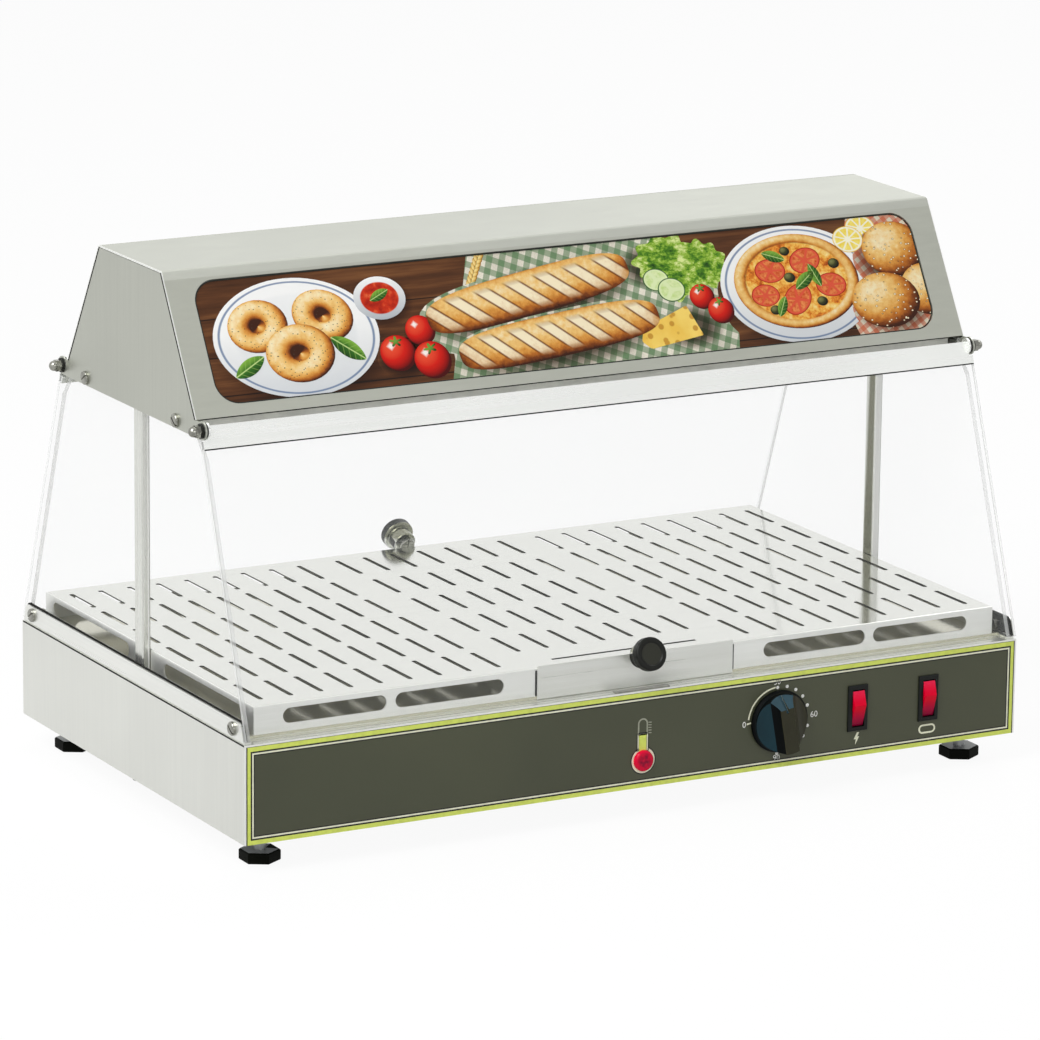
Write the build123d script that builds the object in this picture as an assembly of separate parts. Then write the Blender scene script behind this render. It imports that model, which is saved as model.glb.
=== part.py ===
from build123d import *
import os
from math import atan2, cos, degrees, radians, sin

# Heated countertop display case, all sizes in millimetres.
# X runs along the width, the front faces -Y and Z = 0 is the table under the feet.

# Overall sizes
BASE_WIDTH = 590.0
BASE_DEPTH = 349.0
BASE_HEIGHT = 67.1
FOOT_HEIGHT = 7.5
FOOT_GAP = 13.0
HOOD_TOP = 374.4
SHEET = 1.2
GAP = 0.3
RUNNING = 0.05
SIDES = (-1, 1)

# Heights and half widths that follow from the sizes above
BASE_BOTTOM = FOOT_HEIGHT + FOOT_GAP
RIM_TOP = BASE_BOTTOM + BASE_HEIGHT
WALL_TOP = RIM_TOP - SHEET
HALF_WIDTH = BASE_WIDTH / 2
HALF_DEPTH = BASE_DEPTH / 2
INNER_X = HALF_WIDTH - SHEET
PLATE_BOTTOM = BASE_BOTTOM + SHEET
PLATE_TOP = PLATE_BOTTOM + SHEET

# Folded edges and cooling slots of the base
FLANGE = 12.0
FRONT_HEM = 5.0
VENT_COUNT = 11
VENT_PITCH = 20.0
VENT_WIDTH = 4.0
VENT_LENGTH = 35.0
VENT_TO_BULKHEAD = 10.0

# Control panel in the front
PANEL_THICKNESS = 0.8
PANEL_SIDE_GAP = 0.1
PANEL_TOP_GAP = 0.3
PANEL_FACE = -HALF_DEPTH
PANEL_BACK = PANEL_FACE + PANEL_THICKNESS
WALL_BACK = PANEL_BACK + SHEET
CONTROL_RISE = 33.0
CONTROL_Z = BASE_BOTTOM + CONTROL_RISE

# Thermostat and its knob
DIAL_X = 104.8
DIAL_TURN = 10.0
SHAFT_R = 3.0
SHAFT_FLAT = 1.0
SHAFT_DEPTH = 11.0
SHAFT_IN_KNOB = 4.0
COLLAR_R = 5.0
THERMOSTAT_WIDTH = 44.0
THERMOSTAT_HEIGHT = 36.0
THERMOSTAT_DEPTH = 32.0
THERMOSTAT_SCREW_X = 14.0
THERMOSTAT_SCREW_R = 1.9
THERMOSTAT_SCREW_DEPTH = 7.0
THERMOSTAT_HEAD_R = 3.3
THERMOSTAT_HEAD = 1.6
THERMOSTAT_BLADE_X = 12.0
THERMOSTAT_BLADE_HALF = 3.2
SKIRT_R = 21.5
SKIRT_GAP = 0.7
SKIRT_THICKNESS = 3.4
SKIRT_CHAMFER = 1.2
KNOB_REACH = 15.5
KNOB_WALL = 2.0
KNOB_HOLLOW = 2.4
GRIP_R = 20.0
SCOOP_R = 16.0
SCOOP_X = 20.0
SCOOP_FORWARD = 5.5
NOSE_START = 11.0
NOSE_END = 20.0
NOSE_LIFT = 3.0
POINTER_WIDTH = 2.2
POINTER_DEPTH = 0.8
POINTER_START = 9.0
POINTER_LENGTH = 12.5
POINTER_FALL = 9.0

# Pilot lamp under the printed thermometer
LAMP_RISE = 18.8
LAMP_Z = BASE_BOTTOM + LAMP_RISE
LENS_R = 7.2
LENS_REACH = 3.0
LENS_ROUND = 1.8
LAMP_NECK_R = 5.0
LAMP_BODY_R = 6.5
LAMP_BODY_LENGTH = 24.0
LAMP_BLADE_X = 3.0

# Rocker switches
SWITCH_X = (167.4, 223.9)
SWITCH_RISE = 34.0
SWITCH_Z = BASE_BOTTOM + SWITCH_RISE
BEZEL_WIDTH = 15.5
BEZEL_HEIGHT = 32.0
BEZEL_THICKNESS = 1.8
BEZEL_CHAMFER = 0.6
SWITCH_WIDTH = 11.4
SWITCH_HEIGHT = 28.8
SWITCH_DEPTH = 22.0
SWITCH_BLADE_PITCH = 8.0
ROCKER_WIDTH = 9.0
ROCKER_HEIGHT = 25.0
ROCKER_CLEARANCE = 0.6
ROCKER_TILT = 9.0
ROCKER_POCKET = 7.5
ROCKER_PIVOT_DEPTH = 2.4
ROCKER_RIDGE_UP = 3.0
ROCKER_RIDGE_OUT = 2.6
ROCKER_BACK = 3.4
ROCKER_BACK_IN = 2.5
PIVOT_R = 1.0
BLADE_HALF = 2.4
BLADE_THICKNESS = 0.8
TERMINAL_LENGTH = 7.0

# Raised platform of the deck, and the grid tray on it
DECK_RISE = 2.4
DECK_MARGIN_X = 6.4
DECK_MARGIN_Y = 12.3
DECK_TOP = RIM_TOP + DECK_RISE
DECK_UNDERSIDE = DECK_TOP - SHEET
DECK_HALF_X = HALF_WIDTH - DECK_MARGIN_X
DECK_HALF_Y = HALF_DEPTH - DECK_MARGIN_Y
TRAY_INSET_X = 6.0
TRAY_OVERHANG_Y = 0.2
TRAY_HALF_X = DECK_HALF_X - TRAY_INSET_X
TRAY_HALF_Y = DECK_HALF_Y + TRAY_OVERHANG_Y
TRAY_HEIGHT = 19.1
TRAY_SHEET = 1.0
TRAY_BEND_R = 0.8
TRAY_TOP = DECK_TOP + TRAY_HEIGHT
SLOT_LENGTH = 39.5
SLOT_WIDTH = 3.5
SIDE_SLOT_START = 95.3
SIDE_SLOT_PITCH = 21.85
SIDE_SLOT_MARGIN = 10.7
SIDE_SLOT_COLUMNS = 1 + int((TRAY_HALF_X - SIDE_SLOT_MARGIN - SIDE_SLOT_START) / SIDE_SLOT_PITCH)
SIDE_ROW_PITCH = 51.5
SIDE_ROW_MARGIN = 8.0
SIDE_SLOT_ROWS = 1 + int((2 * (TRAY_HALF_Y - SIDE_ROW_MARGIN) - SLOT_LENGTH) / SIDE_ROW_PITCH)
CENTRE_SLOT_PITCH = 21.6
CENTRE_SLOT_COLUMNS = 7
CENTRE_ROW_PITCH = 57.5
CENTRE_ROW_MIDDLE = 14.5
CENTRE_ROW_MARGIN = 12.0
CENTRE_ROW_ROOM = 2 * (TRAY_HALF_Y - CENTRE_ROW_MARGIN - CENTRE_ROW_MIDDLE) - SLOT_LENGTH
CENTRE_SLOT_ROWS = 1 + int(CENTRE_ROW_ROOM / CENTRE_ROW_PITCH)
FRONT_SLIT_HALF = 55.2
FRONT_SLIT_MARGIN = 15.4
FRONT_SLIT_Y = FRONT_SLIT_MARGIN - TRAY_HALF_Y
FRONT_SLIT_WIDTH = 3.0
SKIRT_SLOT_HEIGHT = 10.2
SKIRT_SLOT_DROP = 8.9
SKIRT_SLOT_Z = TRAY_TOP - SKIRT_SLOT_DROP

# Water drawer under the middle of the grid
DRAWER_HALF = 74.8
DRAWER_OPENING_HALF = 72.0
DRAWER_OPENING_DROP = 3.0
DRAWER_PAN_HALF = 68.0
DRAWER_REAR_MARGIN = 54.8
DRAWER_PAN_HEIGHT = 14.0
DRAWER_FRONT_DROP = 1.9
DRAWER_FRONT_RISE = 1.5

# Long slots in the folded sides of the tray, as distances from the middle
SKIRT_SLOT_TO_DRAWER = 24.7
SKIRT_SLOT_TO_CORNER = 21.1
OUTER_SKIRT_SLOT = 75.2
SKIRT_SLOT_BRIDGE = 6.6
SKIRT_END = TRAY_HALF_X - SKIRT_SLOT_TO_CORNER
SKIRT_MIDDLE = SKIRT_END - OUTER_SKIRT_SLOT
SKIRT_START = DRAWER_HALF + SKIRT_SLOT_TO_DRAWER
FRONT_SKIRT_SLOTS = ((SKIRT_START, SKIRT_MIDDLE - SKIRT_SLOT_BRIDGE), (SKIRT_MIDDLE, SKIRT_END))

# Strikes on the rim that the doors come down on
STRIKE_HALF = 20.5
STRIKE_DEPTH = 5.0
STRIKE_THICKNESS = 0.8
STRIKE_INSET = 3.5
STRIKE_Y = HALF_DEPTH - STRIKE_INSET

# Side rails and the clear side panes
PANE_THICKNESS = 3.0
SIDE_PANE_SETBACK = 3.0
SIDE_PANE_OUTER = HALF_WIDTH - SIDE_PANE_SETBACK
SIDE_PANE_INNER = SIDE_PANE_OUTER - PANE_THICKNESS
RAIL_THICKNESS = 1.5
RAIL_FOOT = 5.0
RAIL_FOOT_INSET = 1.0
RAIL_RISE = 13.2
RAIL_CORNER_R = 5.0
RAIL_TO_DOOR = 0.8
RAIL_SCREW_INSET = 17.2
RAIL_SCREW_RISE = 7.4
RAIL_SCREW_Y = HALF_DEPTH - RAIL_SCREW_INSET
RAIL_SCREW_Z = RIM_TOP + RAIL_SCREW_RISE

# Hood
HOOD_HEIGHT = 87.9
HOOD_SLOPE_RUN = 51.4
HOOD_SETBACK = 74.5
HOOD_EDGE_Z = HOOD_TOP - HOOD_HEIGHT
HOOD_EDGE_HALF = HALF_DEPTH - HOOD_SETBACK
HOOD_TOP_HALF = HOOD_EDGE_HALF - HOOD_SLOPE_RUN
HOOD_LIP = 12.0
HOOD_BEND_R = 2.0
HOOD_END_GAP = 0.1
CAP_OUTER = SIDE_PANE_OUTER + SHEET
CAP_INNER = CAP_OUTER - SHEET
HOOD_HALF_X = CAP_OUTER - HOOD_END_GAP
SLOPE_LENGTH = (HOOD_SLOPE_RUN**2 + HOOD_HEIGHT**2) ** 0.5
SLOPE_SIN = HOOD_HEIGHT / SLOPE_LENGTH
SLOPE_COS = HOOD_SLOPE_RUN / SLOPE_LENGTH
SHEET_SIDEWAYS = SHEET / SLOPE_SIN

# Window in the hood's front slope and the picture panel behind it
WINDOW_SIDE_MARGIN = 18.6
WINDOW_UPPER_MARGIN = 8.5
WINDOW_LOWER_MARGIN = 7.8
WINDOW_R = 16.0
WINDOW_HALF = HOOD_HALF_X - WINDOW_SIDE_MARGIN
WINDOW_HEIGHT = SLOPE_LENGTH - WINDOW_UPPER_MARGIN - WINDOW_LOWER_MARGIN
WINDOW_MIDDLE = WINDOW_UPPER_MARGIN + WINDOW_HEIGHT / 2
PICTURE_LAP_X = 4.0
PICTURE_LAP_Y = 3.25
PICTURE_THICKNESS = 2.5

# Hinges between hood and doors
HINGE_OUT = 8.5
HINGE_DROP = 5.5
HINGE_Y = HOOD_EDGE_HALF + HINGE_OUT
HINGE_Z = HOOD_EDGE_Z - HINGE_DROP
EAR_R = 6.2
STUD_R = 2.0
INNER_WASHER = 1.1
OUTER_WASHER = 1.0
WASHER_R = 5.0
NUT_LENGTH = 8.0
NUT_HEX = 4.0
NUT_FLATS = 7.4
NUT_DOME = 2.0
NUT_ROUND = 3.2
NUT_BASE_X = CAP_OUTER + GAP + OUTER_WASHER
NUT_TIP_X = NUT_BASE_X + NUT_LENGTH

# End plates and floor of the hood
CAP_FLANGE = 10.0
CAP_SCREW_INSET = 30.0
CAP_SCREW_RISE = 5.2
CAP_FOOT = 5.0
FLOOR_BOTTOM = HINGE_Z - EAR_R
CAP_SCREW_Y = HOOD_EDGE_HALF - CAP_SCREW_INSET
CAP_SCREW_Z = FLOOR_BOTTOM + CAP_SCREW_RISE
FLOOR_INSET = 10.0
FLOOR_END_INSET = 16.0
FLOOR_END_DROP = 1.0
FLOOR_HALF_Y = HOOD_EDGE_HALF - FLOOR_INSET
FLOOR_END_HALF_Y = HOOD_EDGE_HALF - FLOOR_END_INSET
FLOOR_END_TOP = HOOD_EDGE_Z - FLOOR_END_DROP
FLOOR_CORNER_GAP = 2.0

# Side panes above the rail
SIDE_PANE_INSET = 4.5
PANE_SHOULDER_DROP = 20.0
PANE_NECK_DROP = 5.5
PANE_NECK_IN = 10.5
PANE_HEAD_RISE = 3.5
PANE_SHOULDER_Z = HINGE_Z - PANE_SHOULDER_DROP
PANE_NECK_Z = HINGE_Z - PANE_NECK_DROP
PANE_NECK_Y = HINGE_Y - PANE_NECK_IN
PANE_HEAD_Z = HINGE_Z + PANE_HEAD_RISE

# Posts
POST_GAP = 1.0
POST_WIDTH = 6.0
POST_DEPTH = 13.0
POST_WALL = 1.0
POST_ROUND = 1.4
POST_NOTCH = 0.8
POST_X = SIDE_PANE_INNER - POST_GAP - POST_WIDTH / 2
SIDE_SKIRT_TO_POST = 20.5
SIDE_SKIRT_TO_CORNER = 12.4
SIDE_SKIRT_SLOT = (POST_DEPTH / 2 + SIDE_SKIRT_TO_POST, TRAY_HALF_Y - SIDE_SKIRT_TO_CORNER)

# Lamp in the hood
DIFFUSER_HALF_X = 205.0
DIFFUSER_INSET_Y = 35.0
DIFFUSER_HALF_Y = FLOOR_HALF_Y - DIFFUSER_INSET_Y
DIFFUSER_LAP = 6.0
DIFFUSER_THICKNESS = 3.0
TUBE_RISE = 35.5
TUBE_Z = HOOD_EDGE_Z + TUBE_RISE
TUBE_R = 13.0
TUBE_HALF = 219.0
TUBE_CAP = 8.0
TUBE_GLASS = 0.8
TUBE_PIN_Y = 6.35
TUBE_PIN_R = 1.2
TUBE_PIN_LENGTH = 6.0
HOLDER_WIDTH = 10.0
HOLDER_DEPTH = 30.0
REFLECTOR_HALF_Y = 34.0
REFLECTOR_HEIGHT = 22.4
REFLECTOR_OVERHANG = 20.0
REFLECTOR_Z = HOOD_TOP - REFLECTOR_HEIGHT

# Doors, laid out along the pane from the hinge axis
DOOR_OUTER = 0.3
DOOR_INNER = DOOR_OUTER - PANE_THICKNESS
DOOR_SIDE_GAP = 1.0
DOOR_OVERHANG = 0.9
DOOR_FOOT_GAP = 0.6
DOOR_HALF_X = HALF_WIDTH - DOOR_SIDE_GAP
DOOR_SPREAD = HALF_DEPTH + DOOR_OVERHANG - HINGE_Y
DOOR_DROP = HINGE_Z - RIM_TOP - STRIKE_THICKNESS - 2.5 * DOOR_FOOT_GAP
DOOR_TILT = degrees(atan2(DOOR_SPREAD, DOOR_DROP))
DOOR_SIN = sin(radians(DOOR_TILT))
DOOR_COS = cos(radians(DOOR_TILT))
DOOR_REACH = HINGE_Z - RIM_TOP - STRIKE_THICKNESS - DOOR_FOOT_GAP + DOOR_INNER * DOOR_SIN
DOOR_LENGTH = DOOR_REACH / DOOR_COS
STRIP_SHEET = 1.0
STRIP_SIDE_INSET = 0.6
STRIP_HALF_X = DOOR_HALF_X - STRIP_SIDE_INSET
STRIP_TOP = -2.9
STRIP_BOTTOM = 12.3
STRIP_SHOULDER = 6.9
STRIP_INNER = DOOR_INNER - STRIP_SHEET
STRIP_OUTER = DOOR_OUTER + STRIP_SHEET
DOOR_EAR_X = CAP_INNER - GAP - INNER_WASHER
DOOR_EAR_R = 5.5

# Knobs on the doors
KNOB_UP = 21.1
KNOB_DOWN = DOOR_LENGTH - KNOB_UP
DOOR_KNOB_OUT = 17.2
DOOR_KNOB_R = 11.35
DOOR_KNOB_DISC = 7.5
DOOR_KNOB_ROUND = 1.6
DOOR_KNOB_NECK_R = 8.2
DOOR_SCREW_R = 2.0
DOOR_SCREW_IN_KNOB = 9.0
DOOR_SCREW_HEAD_R = 5.5
DOOR_SCREW_HEAD = 1.3
DOOR_SCREW_CHAMFER = 0.4
DOOR_SCREW_SLOT = 0.7

# Feet
FOOT_INSET_X = 25.3
FOOT_INSET_Y = 29.5
FOOT_X = HALF_WIDTH - FOOT_INSET_X
FOOT_Y = HALF_DEPTH - FOOT_INSET_Y
FOOT_FLATS = 23.9
FOOT_TURN = 30.0
FOOT_CHAMFER = 0.6
FOOT_TOP_CHAMFER = 0.8
FOOT_FLOOR = 3.0
FOOT_STUD_R = 4.0
FOOT_STUD_TIP = 3.0
FOOT_NUT_FLATS = 13.0
FOOT_NUT_HEIGHT = 6.5

# Heated part of the base
BULKHEAD_SETBACK = 69.5
BULKHEAD_Y = BULKHEAD_SETBACK - HALF_DEPTH
INSULATION_FRONT = BULKHEAD_Y + 5.0
INSULATION_REAR = HALF_DEPTH - 9.5
INSULATION_LEFT = 45.0 - HALF_WIDTH
INSULATION_RIGHT = HALF_WIDTH - 95.0
INSULATION_THICKNESS = 24.0
INSULATION_TOP = PLATE_TOP + INSULATION_THICKNESS
HEAT_TRAY_RIM = 6.0
ELEMENT_R = 3.25
ELEMENT_DROP = 18.0
ELEMENT_Z = DECK_TOP - ELEMENT_DROP
ELEMENT_MARGIN = 25.0
ELEMENT_FIRST_ROW = INSULATION_FRONT + 20.0
ELEMENT_LAST_ROW = INSULATION_REAR - 65.0
ELEMENT_PITCH = (ELEMENT_LAST_ROW - ELEMENT_FIRST_ROW) / 3
ELEMENT_ROWS = tuple(ELEMENT_FIRST_ROW + row * ELEMENT_PITCH for row in range(4))
ELEMENT_LEFT = INSULATION_LEFT + ELEMENT_MARGIN
ELEMENT_RIGHT = INSULATION_RIGHT - ELEMENT_MARGIN
ELEMENT_LEADS = (ELEMENT_RIGHT + 20.0, ELEMENT_RIGHT + 60.0)
ELEMENT_LEAD_TIP = 12.0
ELEMENT_CORNER_R = 10.0
SUPPORT_INSET = 45.0
SUPPORT_MIDDLE = (ELEMENT_LEFT + ELEMENT_RIGHT) / 2
SUPPORT_X = (ELEMENT_LEFT + SUPPORT_INSET, SUPPORT_MIDDLE, ELEMENT_RIGHT - SUPPORT_INSET)
SUPPORT_MARGIN = 12.0
SUPPORT_DROP = 8.0
BULB_R = 3.0
BULB_LENGTH = 90.0
BULB_FROM_ROW = 14.0
CAPILLARY_R = 1.0
CAPILLARY_OUT = 12.0
CAPILLARY_DROP = 2.0
CAPILLARY_PAST_BULKHEAD = 8.0

# Cable inlet and terminal block
GLAND_INSET_X = 45.0
GLAND_RISE = 22.0
GLAND_X = HALF_WIDTH - GLAND_INSET_X
GLAND_Z = BASE_BOTTOM + GLAND_RISE
GLAND_REACH = 15.5
GLAND_R = 8.0
GLAND_HEX = 5.0
GLAND_HEX_MARGIN = 3.0
GLAND_CAP_MARGIN = 2.0
GLAND_CAP_ROUND = 3.0
GLAND_THREAD = 8.0
GLAND_MOUTH_R = 4.0
GLAND_MOUTH_DEPTH = 3.0
BLOCK_INSET_Y = 56.5
BLOCK_Y = HALF_DEPTH - BLOCK_INSET_Y
BLOCK_HALF_X = 15.0
BLOCK_HALF_Y = 9.0
BLOCK_HEIGHT = 14.0
BLOCK_GROOVE_Z = 9.0
BLOCK_PITCH = 10.0
BLOCK_GROOVE_HALF = 3.0
BLOCK_SCREW_R = 1.8
BLOCK_SCREW_Y = 4.0
BLOCK_SCREW_FLOOR = 3.0

# Small screws
SCREW_HEAD_R = 4.7
SCREW_HEAD = 2.4
SCREW_HEAD_ROUND = 1.44
SCREW_R = 1.9
SCREW_SLOT = 1.1
SCREW_SLOT_DEPTH = 1.2
SCREW_SLOT_TURN = 35.0
SCREW_NUT_FLATS = 7.0
SCREW_NUT = 3.0
CAP_NUT_FLATS = 6.4
BOTTOM_SCREW_TIP = 3.0

# The bounding box is centred between the thermostat knob in front and the gland behind.
Y_SHIFT = (KNOB_REACH - GLAND_REACH) / 2


def block(x0, x1, y0, y1, z0, z1):
    """A box between two corners."""
    box = Box(abs(x1 - x0), abs(y1 - y0), abs(z1 - z0))
    return Pos((x0 + x1) / 2, (y0 + y1) / 2, (z0 + z1) / 2) * box


def rod_x(x0, x1, y, z, radius):
    """A round bar along X."""
    return Pos((x0 + x1) / 2, y, z) * Rot(0, 90, 0) * Cylinder(radius, abs(x1 - x0))


def rod_y(y0, y1, x, z, radius):
    """A round bar along Y."""
    return Pos(x, (y0 + y1) / 2, z) * Rot(90, 0, 0) * Cylinder(radius, abs(y1 - y0))


def rod_z(z0, z1, x, y, radius):
    """A round bar along Z."""
    return Pos(x, y, (z0 + z1) / 2) * Cylinder(radius, abs(z1 - z0))


def prism_x(points, x0, x1):
    """A polygon in the YZ plane, pulled along X from x0 to x1."""
    face = make_face(Polyline(*points, close=True))
    return extrude(Plane.YZ.offset(x0) * face, x1 - x0)


def hex_x(x0, x1, y, z, flats):
    """A hexagonal bar along X."""
    face = RegularPolygon(flats / 2, 6, major_radius=False)
    return extrude(Plane(origin=(x0, y, z), x_dir=(0, 1, 0), z_dir=(1, 0, 0)) * face, x1 - x0)


def hex_z(z0, z1, x, y, flats, turn=0.0):
    """A hexagonal bar along Z, turned by some degrees."""
    face = RegularPolygon(flats / 2, 6, major_radius=False)
    return extrude(Pos(x, y, z0) * Rot(0, 0, turn) * face, z1 - z0)


def mirrored_x(shape):
    """The same piece on the other side of the case."""
    return mirror(shape, about=Plane.YZ)


def mirrored_y(shape):
    """The same piece at the other long side."""
    return mirror(shape, about=Plane.XZ)


def both_x(shape):
    """One piece on each side."""
    return [shape, mirrored_x(shape)]


def all_corners(shape):
    """One piece in each of the four corners."""
    return both_x(shape) + both_x(mirrored_y(shape))


def group(pieces):
    """Separate solids kept in one file."""
    return Compound(children=[piece.solid() for piece in pieces])


def pan_screw_x(head_base, tip, y, z):
    """A slotted pan screw whose head stands on the plane X = head_base."""
    head = rod_x(head_base, head_base + SCREW_HEAD, y, z, SCREW_HEAD_R)
    head = fillet(head.edges().filter_by(GeomType.CIRCLE).sort_by(Axis.X)[-1], SCREW_HEAD_ROUND)
    slot_floor = head_base + SCREW_HEAD - SCREW_SLOT_DEPTH
    half_slot = SCREW_SLOT / 2
    slot = block(slot_floor, head_base + 2 * SCREW_HEAD, -SCREW_HEAD_R, SCREW_HEAD_R, -half_slot, half_slot)
    slot = Pos(0, y, z) * Rot(SCREW_SLOT_TURN, 0, 0) * slot
    return head - slot + rod_x(tip, head_base, y, z, SCREW_R)


# Base

def base_casing():
    """Four folded walls, open above, with inward flanges below and a narrow hem in front."""
    rear = HALF_DEPTH - SHEET
    inside = INNER_X - FLANGE
    walls = block(-HALF_WIDTH, HALF_WIDTH, -HALF_DEPTH, HALF_DEPTH, BASE_BOTTOM, WALL_TOP)
    walls -= block(-INNER_X, INNER_X, WALL_BACK, rear, BASE_BOTTOM - 1, WALL_TOP + 1)
    walls -= block(-INNER_X, INNER_X, PANEL_FACE - 1, PANEL_BACK, BASE_BOTTOM - 1, WALL_TOP + 1)
    flange = block(-INNER_X, INNER_X, WALL_BACK, rear, BASE_BOTTOM, PLATE_BOTTOM)
    flange -= block(-inside, inside, WALL_BACK + FRONT_HEM, rear - FLANGE, 0, PLATE_TOP)
    casing = walls + flange
    for hole in panel_holes():
        casing -= hole
    casing -= rod_y(HALF_DEPTH - 2 * SHEET, HALF_DEPTH + 1, GLAND_X, GLAND_Z, GLAND_R)
    for x, y in plate_screw_places():
        casing -= rod_z(BASE_BOTTOM - 1, PLATE_BOTTOM + 1, x, y, SCREW_R)
    return casing


def plate_screw_places():
    """Where the bottom plate is screwed to the flanges."""
    x = INNER_X - FLANGE / 2
    y = HALF_DEPTH - SHEET - FLANGE / 2
    return [(-x, 0), (x, 0), (-x / 2, y), (x / 2, y)]


def panel_holes():
    """Holes that run through the control panel and the wall behind it."""
    front = PANEL_FACE - 1
    back = WALL_BACK + 1
    holes = [rod_y(front, back, DIAL_X, CONTROL_Z, COLLAR_R + GAP)]
    for side in SIDES:
        x = DIAL_X + side * THERMOSTAT_SCREW_X
        holes.append(rod_y(front, back, x, CONTROL_Z, THERMOSTAT_SCREW_R + GAP))
    holes.append(rod_y(front, back, 0, LAMP_Z, LAMP_NECK_R))
    for x in SWITCH_X:
        half_x = SWITCH_WIDTH / 2
        half_z = SWITCH_HEIGHT / 2
        holes.append(block(x - half_x, x + half_x, front, back, SWITCH_Z - half_z, SWITCH_Z + half_z))
    return holes


def control_panel():
    """The printed front plate between the side walls."""
    half_x = INNER_X - PANEL_SIDE_GAP
    panel = block(-half_x, half_x, PANEL_FACE, PANEL_BACK, BASE_BOTTOM, WALL_TOP - PANEL_TOP_GAP)
    for hole in panel_holes():
        panel -= hole
    return panel


def bottom_plate():
    """The floor of the base with rows of cooling slots."""
    half_x = INNER_X - GAP
    front = WALL_BACK + GAP
    rear = HALF_DEPTH - SHEET - GAP
    plate = block(-half_x, half_x, front, rear, PLATE_BOTTOM, PLATE_TOP)
    vent_rear = BULKHEAD_Y - VENT_TO_BULKHEAD
    vent_front = vent_rear - VENT_LENGTH
    for number in range(VENT_COUNT):
        x0 = (number - (VENT_COUNT - 1) / 2) * VENT_PITCH - VENT_WIDTH / 2
        plate -= block(x0, x0 + VENT_WIDTH, vent_front, vent_rear, PLATE_BOTTOM - 1, PLATE_TOP + 1)
    for x, y in foot_places():
        plate -= rod_z(PLATE_BOTTOM - 1, PLATE_TOP + 1, x, y, FOOT_STUD_R + RUNNING)
    for x, y in plate_screw_places():
        plate -= rod_z(PLATE_BOTTOM - 1, PLATE_TOP + 1, x, y, SCREW_R)
    return plate


def bottom_screws():
    """Screws from below through the flanges and the bottom plate."""
    screws = []
    for x, y in plate_screw_places():
        head = rod_z(BASE_BOTTOM - SCREW_HEAD, BASE_BOTTOM, x, y, SCREW_HEAD_R)
        screws.append(head + rod_z(BASE_BOTTOM, PLATE_TOP + BOTTOM_SCREW_TIP, x, y, SCREW_R))
    return group(screws)


def deck_plate():
    """The lid of the base: a flat rim with a raised platform for the tray."""
    inner_x = DECK_HALF_X - SHEET
    inner_y = DECK_HALF_Y - SHEET
    rim = block(-HALF_WIDTH, HALF_WIDTH, -HALF_DEPTH, HALF_DEPTH, WALL_TOP, RIM_TOP)
    raised = block(-DECK_HALF_X, DECK_HALF_X, -DECK_HALF_Y, DECK_HALF_Y, WALL_TOP, DECK_TOP)
    inside = block(-inner_x, inner_x, -inner_y, inner_y, WALL_TOP - 1, DECK_UNDERSIDE)
    return rim + raised - inside


def bulkhead():
    """The wall between the controls and the heated part of the base."""
    half_x = DECK_HALF_X - SHEET - GAP
    wall = block(-half_x, half_x, BULKHEAD_Y - SHEET, BULKHEAD_Y, PLATE_TOP, DECK_UNDERSIDE)
    wall += block(-half_x, half_x, BULKHEAD_Y - FLANGE, BULKHEAD_Y, PLATE_TOP, PLATE_TOP + SHEET)
    wall -= rod_y(BULKHEAD_Y - 2 * SHEET, BULKHEAD_Y + 1, DIAL_X, ELEMENT_Z, CAPILLARY_R + GAP)
    for x in ELEMENT_LEADS:
        wall -= rod_y(BULKHEAD_Y - 2 * SHEET, BULKHEAD_Y + 1, x, ELEMENT_Z, ELEMENT_R + RUNNING)
    return wall


def insulation_board():
    """Mineral board under the heating element."""
    return block(
        INSULATION_LEFT, INSULATION_RIGHT, INSULATION_FRONT, INSULATION_REAR, PLATE_TOP, INSULATION_TOP
    )


def heat_tray():
    """Bright tray on the insulation that throws the heat upwards."""
    tray = block(
        INSULATION_LEFT,
        INSULATION_RIGHT,
        INSULATION_FRONT,
        INSULATION_REAR,
        INSULATION_TOP,
        INSULATION_TOP + HEAT_TRAY_RIM,
    )
    inner = block(
        INSULATION_LEFT + SHEET,
        INSULATION_RIGHT - SHEET,
        INSULATION_FRONT + SHEET,
        INSULATION_REAR - SHEET,
        INSULATION_TOP + SHEET,
        INSULATION_TOP + HEAT_TRAY_RIM + 1,
    )
    return tray - inner


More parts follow.
